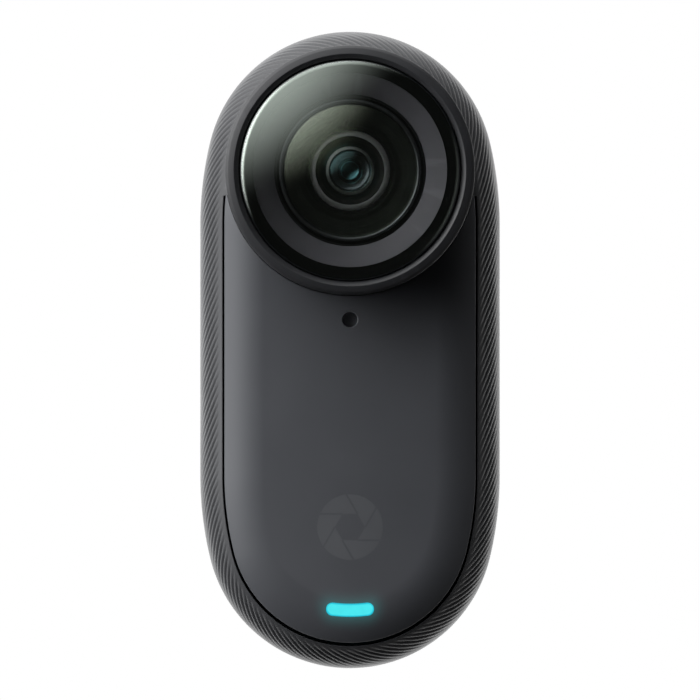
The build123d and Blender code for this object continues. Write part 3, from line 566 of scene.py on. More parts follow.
def moulded(name, colour, roughness, grain=9000.0, grain_depth=GRAIN_DEPTH, metallic=0.0, specular=0.5):
    """Moulded or painted surface: fine grain, slow mottling, and rubbed edges a little lighter."""
    g = Graph(name)
    coords = g.object_coords()
    fine = g.noise(coords, grain, 2.0)
    slow = g.noise(coords, 260.0, 3.0)
    edge = g.add("ShaderNodeNewGeometry").outputs["Pointiness"]
    wear = g.remap(edge, WEAR_START, WEAR_END, 0.0, WEAR_SHARE)
    base = g.blend(slow, tone(colour, 1 - MOTTLE), tone(colour, 1 + MOTTLE))
    inputs = {
        "Base Color": g.blend(wear, base, tone(colour, WEAR_TONE)),
        "Roughness": g.vary(slow, roughness - 0.04, roughness + 0.04),
        "Metallic": metallic,
        "Specular IOR Level": specular,
        "Normal": g.bump(fine, 0.35, grain_depth),
    }
    return g.principled(inputs)


def light_distance(g, coords):
    """How far a point lies from the middle line of the status light's slot."""
    parts = g.add("ShaderNodeSeparateXYZ", {"Vector": coords})
    across = g.math("ABSOLUTE", parts.outputs["X"])
    beyond = g.math("MAXIMUM", g.math("SUBTRACT", across, (LIGHT_HIGH.x - LIGHT_CAP_R) * MM), 0.0)
    bend = g.math("MULTIPLY", g.math("POWER", across, 2.0), 0.5 / (LIGHT_BEND_R * MM))
    middle = g.math("ADD", bend, (LIGHT_LOW.z + LIGHT_CAP_R) * MM)
    above = g.math("SUBTRACT", parts.outputs["Z"], middle)
    offset = g.add("ShaderNodeCombineXYZ", {"X": beyond, "Z": above}).outputs[0]
    return g.length(offset)


def panel_material():
    """Satin panel plastic, with a painted glow round the status light: the panel itself emits, most next to
    the slot.
    """
    g = Graph("panel_satin")
    coords = g.object_coords()
    fine = g.noise(coords, 11000.0, 2.0)
    slow = g.noise(coords, 220.0, 3.0)
    reach = light_distance(g, coords)
    near = g.remap(reach, LIGHT_CAP_R * MM, (LIGHT_CAP_R + PAINTED_GLOW_REACH) * MM, 1.0, 0.0)
    inputs = {
        "Base Color": g.blend(slow, tone(PANEL_COLOUR, 0.95), tone(PANEL_COLOUR, 1.05)),
        "Roughness": g.vary(slow, PANEL_ROUGHNESS - 0.03, PANEL_ROUGHNESS + 0.03),
        "Normal": g.bump(fine, 0.3, 0.000003),
        # painted glow: the panel emits light, strongest next to the status light's slot and fading outwards
        "Emission Color": PAINTED_GLOW_COLOUR,
        "Emission Strength": g.math("MULTIPLY", g.math("POWER", near, PAINTED_GLOW_FALL), PAINTED_GLOW_STRENGTH),
    }
    return g.principled(inputs)


def light_material():
    """Lit diffuser of the status light: deeper blue towards its rim."""
    g = Graph("status_light")
    coords = g.object_coords()
    slow = g.noise(coords, 1500.0, 2.0)
    reach = light_distance(g, coords)
    rim = g.remap(reach, (LIGHT_CAP_R - LIGHT_RIM) * MM, (LIGHT_CAP_R - 0.02) * MM, 0.0, 1.0)
    inputs = {
        "Base Color": tone(LIGHT_COLOUR, 0.05),
        "Roughness": 0.35,
        "Emission Color": g.blend(rim, LIGHT_COLOUR, LIGHT_RIM_COLOUR),
        "Emission Strength": g.vary(slow, 0.93, 0.99),
    }
    return g.principled(inputs)


def coated_glass(name, tint, reflection, head_on, roughness):
    """Clear coated glass: what is behind shows through, and the coating tints what it reflects."""
    g = Graph(name)
    smear = g.noise(g.object_coords(), 180.0, 4.0)
    rough = g.remap(smear, SMEAR_LOW, SMEAR_HIGH, roughness, roughness * 1.8)
    clear = g.add("ShaderNodeBsdfTransparent", {"Color": tint}).outputs[0]
    return g.coated(clear, reflection, rough, head_on)


def glossy_glass(name, depth, reflection, head_on, roughness):
    """Glass over something dark: a deep colour under tinted reflections."""
    g = Graph(name)
    smear = g.noise(g.object_coords(), 900.0, 3.0)
    rough = g.remap(smear, SMEAR_LOW, SMEAR_HIGH, roughness, roughness * 1.5)
    below = g.add("ShaderNodeBsdfDiffuse", {"Color": depth}).outputs[0]
    return g.coated(below, reflection, rough, head_on)


def turned(name, colour, roughness):
    """Turned metal: fine rings about the lens axis."""
    g = Graph(name)
    coords = g.object_coords()
    centred = g.vector_math("SUBTRACT", coords, (0, 0, LENS_Z * MM)).outputs[0]
    parts = g.add("ShaderNodeSeparateXYZ", {"Vector": centred})
    flat = g.add("ShaderNodeCombineXYZ", {"X": parts.outputs["X"], "Z": parts.outputs["Z"]})
    radius = g.length(flat.outputs[0])
    along = g.add("ShaderNodeCombineXYZ", {"X": radius, "Y": parts.outputs["Y"]}).outputs[0]
    rings = g.noise(along, RING_SCALE, 2.0)
    slow = g.noise(coords, 400.0, 2.0)
    inputs = {
        "Base Color": g.blend(slow, tone(colour, 0.88), tone(colour, 1.12)),
        "Metallic": 1.0,
        "Roughness": g.vary(rings, roughness * 0.85, roughness * 1.15),
        "Normal": g.bump(rings, 0.25, 0.000003),
    }
    return g.principled(inputs)


shell_satin = moulded("shell_satin", SHELL_COLOUR, 0.44)
panel_satin = panel_material()
back_matte = moulded("back_matte", linear(58, 60, 63), 0.55, grain=7000.0, grain_depth=0.000006)
emblem_satin = moulded("emblem_satin", linear(84, 86, 90), 0.5)
ring_satin = moulded("ring_satin", linear(54, 55, 58), 0.42)
collar_satin = moulded("collar_satin", linear(44, 45, 47), 0.5)
baffle_matte = moulded("baffle_matte", linear(104, 102, 109), 0.62)
inside_black = moulded("inside_black", linear(11, 11, 12), 0.6)
mask_gloss = moulded("mask_gloss", linear(5, 5, 5), 0.18, grain_depth=0.000001)
seal_rubber = moulded("seal_rubber", linear(18, 18, 18), 0.75)
status_light = light_material()
bezel_turned = turned("bezel_turned", linear(110, 113, 116), 0.32)
guard_coating = coated_glass("guard_coating", (0.97, 0.985, 0.975, 1), (0.84, 0.95, 0.86, 1), 0.30, 0.03)
dome_coating = coated_glass("dome_coating", (0.93, 0.95, 0.93, 1), (0.86, 0.95, 0.74, 1), 0.24, 0.02)
inner_coating = coated_glass("inner_coating", (0.86, 0.95, 0.97, 1), (0.45, 0.82, 0.90, 1), 0.12, 0.02)
clear_glass = coated_glass("clear_glass", (0.99, 0.99, 0.99, 1), (1, 1, 1, 1), 0.004, 0.02)
velvet_black = moulded("velvet_black", linear(6, 6, 6), 0.85, specular=0.1)
bead_satin = moulded("bead_satin", linear(176, 174, 180), 0.3, metallic=1.0)
lip_bright = turned("lip_bright", linear(240, 246, 248), 0.3)
ring_pale = moulded("ring_pale", linear(240, 238, 244), 0.42, metallic=0.6)
glass_edge = glossy_glass("glass_edge", linear(8, 10, 10), (0.75, 0.8, 0.78, 1), 0.22, 0.12)
teal_glass = glossy_glass("teal_glass", linear(3, 9, 12), (0.45, 0.92, 1.0, 1), 0.5, 0.03)

# ---- Shell ------------------------------------------------------------------------------

KNURL_COUNT = 164
KNURL_SAMPLES = 8            # columns of points for each groove
KNURL_SLOPE = 1.3            # how far a groove runs along the rim for each mm towards the back
KNURL_DEPTH = 0.09
KNURL_SHARPNESS = 2.0
KNURL_START_INSET = 1.65
KNURL_END_INSET = 0.12
KNURL_FADE = 0.45
LIP = 0.08                   # small roundings of the rim and of the opening at the back
LEDGE_STEP = 0.6
LEDGE_ROWS = 4               # rows of the section before those across the rim
RIM_STEPS = 4
EDGE_STEPS = 22
WALL_STEPS = 12
BACK_STEPS = 10
CUT_MARGIN = 0.5             # how far a cutter reaches past the wall that it cuts


def rim_inset(distance):
    """Width of the shell's rim: it follows the panel, and higher up the round lens collar."""
    x, z, normal = outline_at(distance)
    if z < PANEL_HIGH.z + SEAM:
        return RIM_INSET
    # where the inward normal meets the collar's bore
    along = x * normal[0] + (z - LENS_Z) * normal[1]
    off = x * x + (z - LENS_Z) ** 2 - COLLAR_BORE_R**2
    return along - sqrt(along**2 - off)


def knurl_weight(inset):
    """Share of the full groove depth on the front edge: it fades out at both ends of a groove."""
    start = min(1.0, max(0.0, (KNURL_START_INSET - inset) / KNURL_FADE))
    return start * min(1.0, max(0.0, (inset - KNURL_END_INSET) / KNURL_FADE))


def shell_profile(distance):
    """Closed section of the shell at one place on its outline: (inset, height, knurl weight)."""
    centre = edge_centre(distance)
    rim = rim_inset(distance)

    def on_edge(inset):
        return centre + sqrt(FRONT_EDGE_R**2 - (FRONT_EDGE_R - inset) ** 2)

    rows = [
        (rim, LEDGE_HEIGHT, 0.0),
        (rim, LEDGE_HEIGHT + LEDGE_STEP, 0.0),
        (rim, on_edge(rim) - 1.8 * LIP, 0.0),
        (rim - 0.2 * LIP, on_edge(rim) - 0.8 * LIP, 0.0),
    ]
    first, last = rim - LIP, RIM_INSET - 2 * LIP
    for k in range(RIM_STEPS):
        inset = first + (last - first) * k / RIM_STEPS
        rows.append((inset, on_edge(inset), 0.0))
    widest = acos((FRONT_EDGE_R - last) / FRONT_EDGE_R)
    for k in range(EDGE_STEPS + 1):
        angle = widest * (1 - k / EDGE_STEPS)
        inset = FRONT_EDGE_R * (1 - cos(angle))
        rows.append((inset, centre + FRONT_EDGE_R * sin(angle), knurl_weight(inset)))
    for k in range(1, WALL_STEPS + 1):
        rows.append((0.0, centre + (BACK_EDGE_R - centre) * k / WALL_STEPS, 0.0))
    for k in range(1, BACK_STEPS + 1):
        angle = pi / 2 * k / BACK_STEPS
        rows.append((BACK_EDGE_R * (1 - cos(angle)), BACK_EDGE_R * (1 - sin(angle)), 0.0))
    rows += [
        (PLATE_INSET - LIP, 0.0, 0.0),
        (PLATE_INSET, LIP, 0.0),
        (PLATE_INSET, PLATE_STEP, 0.0),
        (PLATE_STEP_INSET, PLATE_STEP, 0.0),
        (PLATE_STEP_INSET, BACK_WALL, 0.0),
        (SIDE_WALL, BACK_WALL, 0.0),
        (SIDE_WALL, LEDGE_HEIGHT, 0.0),
    ]
    return rows


def groove_travel():
    """How far each row of the section lies along the surface from the front edge's first row."""
    rows = shell_profile(0.0)
    first = LEDGE_ROWS + RIM_STEPS
    last = first + EDGE_STEPS + WALL_STEPS
    travel = [0.0] * len(rows)
    for j in range(first + 1, len(rows)):
        step = hypot(rows[j][0] - rows[j - 1][0], rows[j][1] - rows[j - 1][1]) if j <= last else 0.0
        travel[j] = travel[j - 1] + step
    return travel


def make_shell():
    """The knurled shell. Its columns lean with the grooves, so each groove runs along one."""
    columns = KNURL_COUNT * KNURL_SAMPLES
    spacing = PERIMETER / columns
    travel = groove_travel()
    offset = round(KNURL_SLOPE * travel[-1] / spacing)
    lean = offset * spacing / travel[-1]
    sections = {}
    verts = []
    for i in range(columns):
        phase = i % KNURL_SAMPLES / KNURL_SAMPLES
        groove = (0.5 + 0.5 * cos(2 * pi * phase)) ** KNURL_SHARPNESS
        for j, along in enumerate(travel):
            distance = round((i * spacing + lean * along) % PERIMETER, 3)
            if distance not in sections:
                sections[distance] = shell_profile(distance), edge_centre(distance)
            rows, centre = sections[distance]
            inset, height, weight = rows[j]
            angle = atan2(max(0.0, height - centre), FRONT_EDGE_R - inset)
            depth = KNURL_DEPTH * weight * groove
            x, z, _ = outline_at(distance, inset + depth * cos(angle))
            verts.append((x, height - depth * sin(angle), z))
    faces = loop_faces(columns, len(travel), -offset)
    nodes = ["rear_shell"]
    return finish_piece("knurled_shell", verts, faces, "housing", shell_satin, nodes)


def cut_power_slot(shell):
    """The slot for the power button, cut down through the top wall."""
    end_r = POWER_LENGTH / 2 + POWER_FIT
    end_x = (POWER_WIDTH - POWER_LENGTH) / 2
    slot = arc(end_x, -POWER_HEIGHT, end_r, -pi / 2, pi, 24)
    slot += arc(-end_x, -POWER_HEIGHT, end_r, pi / 2, pi, 24)
    block = prism(slot, HALF_HEIGHT - SIDE_WALL - CUT_MARGIN, HALF_HEIGHT + CUT_MARGIN)
    block.data.transform(Matrix.Rotation(-pi / 2, 4, "X"))
    cut(shell, block)


cut_power_slot(make_shell())

# ---- Front panel ------------------------------------------------------------------------

PANEL_COLUMNS = 560
PANEL_EDGE = 0.11            # small rounding where the front turns down into the skirt
PANEL_CORE = 11.7            # inset up to which the panel follows its outline
PANEL_EDGE_STEPS = 12
PANEL_CROWN_STEPS = 8
PANEL_CUT_BACK = PANEL_FOOT - 1.0
PANEL_CUT_FRONT = BODY_DEPTH + 2.0
TRIM_X = 14.0                # half width and upper end of the block that cuts the panel's top off
TRIM_Z = 40.0
MIC_CHAMFER = 0.09
MIC_CHAMFER_FRONT = BODY_DEPTH + 0.02
LIGHT_FIT = 0.02


def panel_section(distance):
    """Open section of the panel at one place, from the ceiling of its hollow to its middle."""
    _, _, normal = outline_at(distance)
    side = PANEL_INSET + PANEL_BOTTOM_GAP * max(0.0, -normal[1])
    start, blend = side + PANEL_EDGE, crown_inset(distance)
    top = front_height(distance, start)
    rows = [
        (PANEL_CORE, PANEL_CEILING),
        (side + PANEL_SKIRT, PANEL_CEILING),
        (side + PANEL_SKIRT, PANEL_FOOT),
        (side, PANEL_FOOT),
        (side, top - 1.7 * PANEL_EDGE),
        (side + 0.1 * PANEL_EDGE, top - 1.1 * PANEL_EDGE),
        (side + 0.45 * PANEL_EDGE, top - 0.5 * PANEL_EDGE),
    ]
    insets = [start + (blend - start) * k / PANEL_EDGE_STEPS for k in range(PANEL_EDGE_STEPS)]
    for k in range(PANEL_CROWN_STEPS + 1):
        insets.append(blend + (PANEL_CORE - blend) * k / PANEL_CROWN_STEPS)
    return rows + [(inset, front_height(distance, inset)) for inset in insets]


def emblem_cutter():
    """The emblem's own outline as a block that reaches out through the panel's front."""
    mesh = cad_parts["emblem_inlay"].data.copy()
    middle = -(EMBLEM_LOW.y + EMBLEM_HIGH.y) / 2 * MM
    for vertex in mesh.vertices:
        if vertex.co.y < middle:
            vertex.co.y = -PANEL_CUT_FRONT * MM
    return add_object("cutter", mesh)


def make_panel():
    """Front panel: crowned top, skirt all round, hollow behind, cut round the collar."""
    verts = []
    for i in range(PANEL_COLUMNS):
        distance = i * PERIMETER / PANEL_COLUMNS
        rows = panel_section(distance)
        for inset, height in rows:
            x, z, _ = outline_at(distance, inset)
            verts.append((x, height, z))
    count = len(rows)
    faces = []
    for i in range(PANEL_COLUMNS):
        for j in range(count - 1):
            a, b = i * count + j, (i + 1) % PANEL_COLUMNS * count + j
            faces.append((a, b, b + 1, a + 1))
    faces.append(tuple(i * count for i in range(PANEL_COLUMNS)))
    faces.append(tuple(i * count + count - 1 for i in range(PANEL_COLUMNS)))
    nodes = ["front_panel"]
    panel = finish_piece("satin_panel", verts, faces, "shutter_panel", panel_satin, nodes)
    above = [(-TRIM_X, PANEL_HIGH.z), (TRIM_X, PANEL_HIGH.z), (TRIM_X, TRIM_Z), (-TRIM_X, TRIM_Z)]
    cut(panel, prism(circle(0, LENS_Z, PANEL_CUT_R, 256), PANEL_CUT_BACK, PANEL_CUT_FRONT))
    cut(panel, prism(above, PANEL_CUT_BACK, PANEL_CUT_FRONT))
    cut(panel, prism(circle(0, MIC_Z, MIC_HOLE_R), PANEL_CUT_BACK, MIC_CHAMFER_FRONT, MIC_CHAMFER))
    cut(panel, prism(light_outline(LIGHT_FIT), PANEL_CUT_BACK, PANEL_CUT_FRONT))
    cut(panel, emblem_cutter())
    true_normals(panel)


def make_emblem():
    """The emblem keeps its own outline, with crisp edges."""
    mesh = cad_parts["emblem_inlay"].data.copy()
    mesh.materials.clear()
    mesh.materials.append(emblem_satin)
    shade(mesh)
    emblem = add_object("iris_mark", mesh)
    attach(emblem, "shutter_panel")
    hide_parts("emblem_inlay")
    true_normals(emblem)


make_panel()
make_emblem()

# ---- Lens guard -------------------------------------------------------------------------

FACE_GAP = 0.02              # keeps two faces that touch from being drawn through each other

GUARD_CREST = GUARD_HIGH.y
GUARD_BORE_R = 9.55
GUARD_SHOULDER = GUARD_CREST - 0.42
GUARD_CONE_R = GUARD_R - 0.24
GUARD_CONE_TOP = GUARD_CREST - 0.2
GUARD_CREST_R = GUARD_R - 0.74
GUARD_SEAT_R = GLASS_R + 0.08
GUARD_BEVEL_FOOT = GUARD_CREST - 0.28
GUARD_SEAT = GUARD_CREST - 1.4
GUARD_LEDGE_R = 8.95
GUARD_LEDGE_BACK = GUARD_CREST - 2.0
GUARD_BORE_TOP = GUARD_CREST - 2.6

guard_profile = [
    (GUARD_BORE_R, GUARD_LOW.y),
    (GUARD_R, GUARD_LOW.y),
    (GUARD_R, GUARD_SHOULDER),
    (GUARD_CONE_R, GUARD_CONE_TOP),
    (GUARD_CREST_R, GUARD_CREST),
    (GUARD_SEAT_R, GUARD_BEVEL_FOOT),
    (GUARD_SEAT_R, GUARD_SEAT),
    (GUARD_LEDGE_R, GUARD_SEAT),
    (GUARD_LEDGE_R, GUARD_LEDGE_BACK),
    (GUARD_BORE_R, GUARD_BORE_TOP),
]
guard_ring = soften(guard_profile, 0.05)
lathe("guard_rim", guard_ring, "lens_guard", ring_satin, ["guard_ring"], 256)

GLASS_BACK = GLASS_LOW.y + FACE_GAP
GLASS_CHAMFER = 0.2
GLASS_CHAMFER_R = GLASS_R - GLASS_CHAMFER
GLASS_HOLLOW_R = 8.4
GLASS_HOLLOW_SAG = 1.25

outer_cap = cap(GLASS_R, GUARD_CREST, GLASS_HIGH.y - GUARD_CREST, 40)
outer_face = [point for point in outer_cap if point[0] < GLASS_CHAMFER_R]
chamfer_top = (GLASS_CHAMFER_R, outer_face[-1][1] - 0.03)
glass_side = [chamfer_top, (GLASS_CHAMFER_R, GLASS_BACK)]
inner_face = cap(GLASS_HOLLOW_R, GLASS_BACK, GLASS_HOLLOW_SAG, 32)[::-1]
lathe(
    "guard_dome",
    outer_face + glass_side + inner_face,
    "lens_guard",
    guard_coating,
    ["guard_glass"],
    192,
    clear_glass,
    len(outer_face) + 1,
)
glass_edge_profile = [
    (GLASS_CHAMFER_R, GLASS_BACK),
    (GLASS_R, GLASS_BACK),
    (GLASS_R, GUARD_CREST - GLASS_CHAMFER),
    (GLASS_R - 0.3 * GLASS_CHAMFER, GUARD_CREST - 0.35 * GLASS_CHAMFER),
    chamfer_top,
]
lathe("guard_dome_edge", glass_edge_profile, "lens_guard", glass_edge, ["guard_glass"], 192)

# ---- Lens collar ------------------------------------------------------------------------

COLLAR_FOOT_TOP = 11.9
COLLAR_FOOT_R = COLLAR_R - 0.35
COLLAR_TOP = 16.4
COLLAR_INNER_R = 6.3
BOSS_R = 8.45
TAB_BOTTOM = 18.3
TAB_TOP = 19.1
TAB_ROOT_R = BOSS_R - 0.1
TAB_R = 8.95
TAB_HALF_ANGLE = radians(20)
TAB_STEPS = 12
TAB_TURNS = (90, 210, 330)   # degrees round the lens axis

collar_profile = [
    (COLLAR_R, COLLAR_FOOT_TOP),
    (COLLAR_FOOT_R, COLLAR_FOOT_TOP),
    (COLLAR_FOOT_R, COLLAR_LOW.y),
    (COLLAR_INNER_R, COLLAR_LOW.y),
    (COLLAR_INNER_R, COLLAR_HIGH.y),
    (BOSS_R, COLLAR_HIGH.y),
    (BOSS_R, COLLAR_TOP),
    (COLLAR_R, COLLAR_TOP),
]
collar = soften(collar_profile, 0.08)
lathe("collar_body", collar, "housing", collar_satin, ["lens_collar"], 192)


def make_tab(turn):
    """One bayonet tab on the collar: a short piece of a ring with softened edges."""
    corners = [(TAB_ROOT_R, TAB_BOTTOM), (TAB_R, TAB_BOTTOM), (TAB_R, TAB_TOP), (TAB_ROOT_R, TAB_TOP)]
    section = soften(corners, 0.06, 3)
    verts = []
    for i in range(TAB_STEPS + 1):
        angle = radians(turn) + TAB_HALF_ANGLE * (2 * i / TAB_STEPS - 1)
        verts += [(r * cos(angle), h, LENS_Z + r * sin(angle)) for r, h in section]
    n = len(section)
    faces = [tuple(range(n)), tuple(range(TAB_STEPS * n, (TAB_STEPS + 1) * n))]
    for i in range(TAB_STEPS):
        for j in range(n):
            k = (j + 1) % n
            faces.append((i * n + j, i * n + k, (i + 1) * n + k, (i + 1) * n + j))
    finish_piece(f"collar_tab_{turn}", verts, faces, "housing", collar_satin, ["lens_collar"])


for turn in TAB_TURNS:
    make_tab(turn)

# ---- Lens -------------------------------------------------------------------------------

FUNNEL_BORE_R = 6.47
FUNNEL_FALL = 1.6

funnel_profile = [
    (FUNNEL_BORE_R, BAFFLE_LOW.y),
    (BAFFLE_HIGH.x, BAFFLE_LOW.y),
    (BAFFLE_HIGH.x, BAFFLE_HIGH.y),
    (FUNNEL_BORE_R, BAFFLE_HIGH.y - FUNNEL_FALL),
]
funnel = soften(funnel_profile, 0.06)
lathe("funnel", funnel, "housing", baffle_matte, ["lens_baffle"], 192)

BARREL_R = BARREL_HIGH.x
BARREL_TOP = BARREL_HIGH.y
BARREL_BORE_R = 3.45
BARREL_BORE_TOP = BARREL_TOP - 2.3
BARREL_STEPS = [(4.45, 1.3), (3.9, 1.85)]      # outer radius of each step, depth under the top
BARREL_STEP_WIDTH = 0.15
BEZEL_R = BARREL_R - 0.32                      # inside of the bezel, and of the wall under it
DOME_SEAT = BARREL_TOP - 0.8
DOME_LEDGE_R = BARREL_R - 1.14

barrel_profile = [
    (BARREL_BORE_R, BARREL_LOW.y),
    (BARREL_R, BARREL_LOW.y),
    (BARREL_R, BARREL_TOP),
    (BEZEL_R, BARREL_TOP),
    (BEZEL_R, DOME_SEAT),
    (DOME_LEDGE_R, DOME_SEAT),
    *steps_down(BARREL_TOP, BARREL_STEPS, BARREL_STEP_WIDTH),
    (BARREL_BORE_R, BARREL_BORE_TOP),
]
barrel = soften(barrel_profile, 0.04)
lathe("barrel_tube", barrel, "housing", velvet_black, ["lens_barrel"], 160)

bezel_profile = [
    (BEZEL_R, BEZEL_LOW.y),
    (BARREL_R, BEZEL_LOW.y),
    (BARREL_R, BEZEL_HIGH.y),
    (BEZEL_R, BEZEL_HIGH.y),
]
bezel = soften(bezel_profile, 0.14)
lathe("bezel_ring", bezel, "housing", bezel_turned, ["lens_bezel"], 192)

DOME_R = DOME_HIGH.x
DOME_SAG = 0.9
DOME_BACK = DOME_LOW.y + FACE_GAP
DOME_HOLLOW_R = 4.6
DOME_HOLLOW_SAG = 0.6

dome_face = cap(DOME_R, DOME_HIGH.y - DOME_SAG, DOME_SAG, 40)
dome_hollow = cap(DOME_HOLLOW_R, DOME_BACK, DOME_HOLLOW_SAG, 32)[::-1]
front_dome = lathe(
    "front_dome",
    dome_face + [(DOME_R, DOME_BACK)] + dome_hollow,
    "housing",
    dome_coating,
    ["lens_front_element"],
    192,
    clear_glass,
    len(dome_face),
)
open_back(front_dome)

RETAINER_R = RETAINER_HIGH.x
RETAINER_TOP = RETAINER_HIGH.y
RETAINER_RIM = RETAINER_TOP - 0.2              # height of the ring's outer rim
BEAD_R = 2.94                                  # where the pale ring and its black bevel meet
BEVEL_R = BEAD_R - 0.01
BEVEL_TOP = RETAINER_TOP - 0.12
BEVEL_BORE_R = 2.5
BEVEL_STEPS = [(2.74, 0.25), (2.58, 0.4)]      # outer radius of each step, depth under the top
BEVEL_STEP_WIDTH = 0.08

ring_profile = [
    (BEAD_R, RETAINER_LOW.y),
    (RETAINER_R, RETAINER_LOW.y),
    (RETAINER_R, RETAINER_RIM),
    (BEAD_R + 0.3, RETAINER_TOP - 0.09),
    (BEAD_R + 0.14, RETAINER_TOP - 0.02),
    (BEAD_R, RETAINER_TOP),
]
bevel_profile = [
    (BEVEL_BORE_R, RETAINER_LOW.y),
    (BEVEL_R, RETAINER_LOW.y),
    (BEVEL_R, BEVEL_TOP),
    *steps_down(RETAINER_TOP, BEVEL_STEPS, BEVEL_STEP_WIDTH),
]
ring = soften(ring_profile, 0.03)
bevel = soften(bevel_profile, 0.04)
lathe("inner_ring", ring, "housing", ring_pale, ["inner_retaining_ring"], 128)
lathe("inner_ring_bevel", bevel, "housing", inside_black, ["inner_retaining_ring"], 128)

SECOND_R = 1.87
SECOND_SAG = 0.45
SECOND_HOLLOW_R = SECOND_R - 0.04
SECOND_HOLLOW_SAG = 0.3
SECOND_BACK = SECOND_LOW.y + FACE_GAP
SECOND_EDGE = SECOND_HIGH.y - SECOND_SAG
LIP_R = SECOND_R - 0.06                        # inside of the bright lip round the second lens

second_face = cap(SECOND_R, SECOND_EDGE, SECOND_SAG, 24)
second_side = [(SECOND_HIGH.x, SECOND_EDGE), (SECOND_HIGH.x, SECOND_BACK), (SECOND_R, SECOND_BACK)]
second_hollow = cap(SECOND_HOLLOW_R, SECOND_BACK, SECOND_HOLLOW_SAG, 16)[::-1]
second_lens = lathe(
    "second_lens",
    second_face + second_side + second_hollow,
    "housing",
    inner_coating,
    ["second_element"],
    128,
    clear_glass,
    len(second_face),
)
open_back(second_lens)
lip_profile = [
    (LIP_R, SECOND_EDGE),
    (SECOND_R + 0.2, SECOND_EDGE),
    (SECOND_R + 0.2, SECOND_EDGE + 0.04),
    (SECOND_R + 0.08, SECOND_EDGE + 0.1),
    (LIP_R, SECOND_EDGE + 0.13),
]
lip = soften(lip_profile, 0.02)
lathe("second_lens_lip", lip, "housing", lip_bright, ["second_element"], 128)

SPACER_BACK = SPACER_LOW.y
SPACER_TOP = SPACER_HIGH.y
SPACER_BORE_R = 1.62
SPACER_LIP_R = 1.74
SPACER_LIP_BACK = SPACER_TOP - 0.3
THROAT_R = 1.06                                # inside of the metal funnel, and the third lens
THROAT_OUTER_R = SPACER_BORE_R - 0.01

spacer_profile = [
    (SPACER_BORE_R, SPACER_BACK),
    (SPACER_HIGH.x, SPACER_BACK),
    (SPACER_HIGH.x, SPACER_TOP),
    (SPACER_LIP_R, SPACER_TOP),
    (SPACER_BORE_R, SPACER_LIP_BACK),
]
throat_profile = [
    (THROAT_R, SPACER_BACK),
    (THROAT_OUTER_R, SPACER_BACK),
    (THROAT_OUTER_R, SPACER_TOP - 0.34),
    (THROAT_R + 0.04, SPACER_TOP - 0.55),
]
spacer = soften(spacer_profile, 0.03)
lathe("stepped_spacer", spacer, "housing", inside_black, ["lens_spacer"], 128)
lathe("spacer_funnel", throat_profile, "housing", bead_satin, ["lens_spacer"], 128)

THIRD_FRONT = THIRD_HIGH.y - FACE_GAP
THIRD_SAG = 0.34

third_side = [(THIRD_HIGH.x, THIRD_FRONT), (THIRD_HIGH.x, THIRD_LOW.y), (0, THIRD_LOW.y)]
third_profile = cap(THROAT_R, THIRD_FRONT, -THIRD_SAG, 24) + third_side
lathe("third_lens", third_profile, "housing", teal_glass, ["third_element"], 128)

# ---- Materials for the CAD nodes that stay -----------------------------------------------

steel = turned("plated_steel", linear(180, 182, 184), 0.3)
gold = moulded("gold_plate", linear(150, 120, 70), 0.32, metallic=1.0, grain_depth=0.000002)
board = moulded("solder_mask", linear(16, 66, 48), 0.35)
chip = moulded("chip_resin", linear(22, 22, 24), 0.55)
film = moulded("amber_film", linear(150, 92, 26), 0.3)
foil = moulded("cell_foil", linear(96, 98, 104), 0.38)
alloy = moulded("cast_alloy", linear(120, 122, 124), 0.5, metallic=1.0)
mic_felt = moulded("mic_felt", linear(190, 192, 198), 0.8)
mesh_dark = moulded("mesh_wire", linear(40, 41, 43), 0.5, grain=26000.0, grain_depth=0.00002)
window = coated_glass("window_smoke", (0.25, 0.27, 0.29, 1), (0.9, 0.9, 0.9, 1), 0.04, 0.05)

CAD_MATERIALS = {
    "rear_plate": back_matte,
    "rear_plate_gasket": seal_rubber,
    "contact_pads": gold,
    "contact_board": board,
    "back_magnets": steel,
    "rear_light_window": window,
    "rear_led": chip,
    "rear_mic_mesh": mesh_dark,
    "rear_microphone": steel,
    "chassis": alloy,
    "panel_gasket": seal_rubber,
    "panel_hinge_pins": inside_black,
    "main_board": board,
    "board_screws": steel,
    "processor_shield": steel,
    "board_chips": chip,
    "battery_cell": foil,
    "battery_lead": film,
    "haptic_motor": steel,
    "wifi_antenna": film,
    "front_microphone": steel,
    "front_led": chip,
    "front_light_pipe": status_light,
    "front_mic_mesh": mic_felt,
    "shutter_switch": chip,
    "shutter_plunger": inside_black,
    "power_button": shell_satin,
    "power_button_seal": seal_rubber,
    "power_switch": chip,
    "power_plunger": inside_black,
    "barrel_seal": seal_rubber,
    "aperture_stop": inside_black,
    "fourth_element": inner_coating,
    "rear_element": inner_coating,
    "ir_filter": inner_coating,
    "image_sensor": chip,
    "sensor_board": board,
    "sensor_flex": film,
    "heat_spreader": alloy,
    "bayonet_ring": inside_black,
    "guard_mask": mask_gloss,
    "guard_seal": seal_rubber,
}
for node, material in CAD_MATERIALS.items():
    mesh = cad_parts[node].data
    mesh.materials.clear()
    mesh.materials.append(material)

# ---- Floor, light and camera ------------------------------------------------------------

FRAME_WIDTH = 59.93          # mm across the picture, at the depth of the outline
OUTLINE_HEIGHT = 6.8
LENS_MM = 1400.0
SENSOR_MM = 36.0
FLOOR_DROP = 35.0
FLOOR_REACH = 9.0            # metres
WHITE = (1, 1, 1, 1)

camera_data = bpy.data.cameras.new("camera")
camera_data.lens = LENS_MM
camera_data.sensor_width = SENSOR_MM
camera_data.clip_start = 0.05
camera_data.clip_end = 20.0
camera = add_object("camera", camera_data)
camera.location = (0, (-OUTLINE_HEIGHT - FRAME_WIDTH * LENS_MM / SENSOR_MM) * MM, 0)
camera.rotation_euler = (pi / 2, 0, 0)
bpy.context.scene.camera = camera

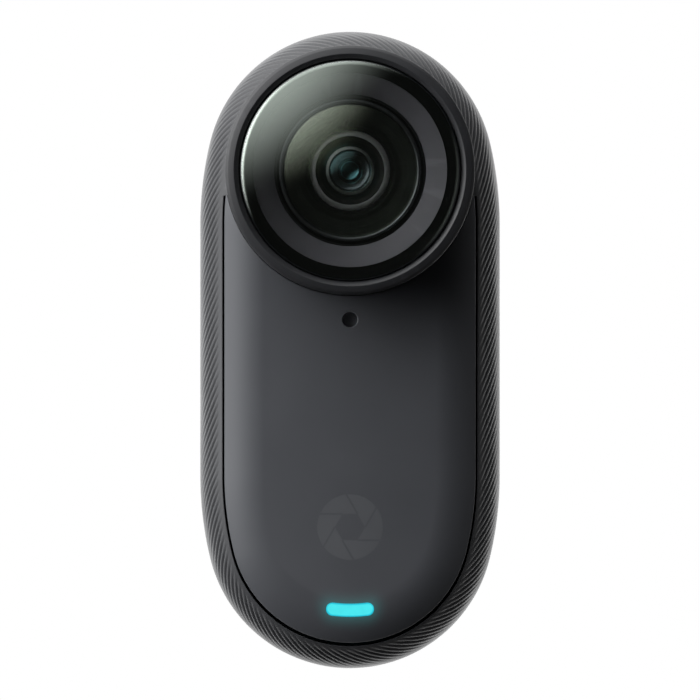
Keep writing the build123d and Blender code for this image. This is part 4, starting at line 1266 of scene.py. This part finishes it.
floor_mesh = bpy.data.meshes.new("floor")
floor_z = (-HALF_HEIGHT - FLOOR_DROP) * MM
corners = [(-1, -1), (1, -1), (1, 1), (-1, 1)]
floor_mesh.from_pydata([(x * FLOOR_REACH, y * FLOOR_REACH, floor_z) for x, y in corners], [], [(0, 1, 2, 3)])
floor = add_object("floor", floor_mesh)
pale = Graph("floor_pale")
clear = pale.add("ShaderNodeBsdfTransparent", {"Color": WHITE}).outputs[0]
lit = pale.add("ShaderNodeEmission", {"Color": WHITE}).outputs[0]
floor_mesh.materials.append(pale.hide_from_camera(clear, lit))


def lobe(graph, direction, off_axis, around, inner, outer, strength):
    """Soft light from one side: off_axis degrees from the line of sight, around degrees about it."""
    tilt, turn = radians(off_axis), radians(around)
    towards = (sin(tilt) * cos(turn), -cos(tilt), sin(tilt) * sin(turn))
    inputs = {
        "Value": graph.vector_math("DOT_PRODUCT", direction, towards).outputs["Value"],
        "From Min": cos(radians(outer)),
        "From Max": cos(radians(inner)),
        "To Min": 0.0,
        "To Max": strength,
    }
    settings = {"interpolation_type": "SMOOTHERSTEP", "clamp": True}
    return graph.add("ShaderNodeMapRange", inputs, **settings).outputs["Result"]


STUDIO_FILL = 0.008
STUDIO_LIGHTS = [            # degrees off the line of sight, degrees round it, inner, outer, strength
    (70, 131, 5, 62, 1.9),
    (76, 162, 5, 45, 2.4),
    (110, 90, 10, 40, 1.8),
    (180, 0, 35, 78, 1.8),
    (75, -15, 5, 42, 0.1),
]

studio = Graph("studio", world=True)
direction = studio.add("ShaderNodeTexCoord").outputs["Generated"]
strength = STUDIO_FILL
for light in STUDIO_LIGHTS:
    strength = studio.math("ADD", lobe(studio, direction, *light), strength)
lighting = studio.add("ShaderNodeBackground", {"Color": WHITE, "Strength": strength}).outputs[0]
backdrop = studio.add("ShaderNodeBackground", {"Color": WHITE, "Strength": 1.0}).outputs[0]
bpy.context.scene.world = studio.hide_from_camera(lighting, backdrop)

bpy.context.scene.view_settings.view_transform = "Standard"
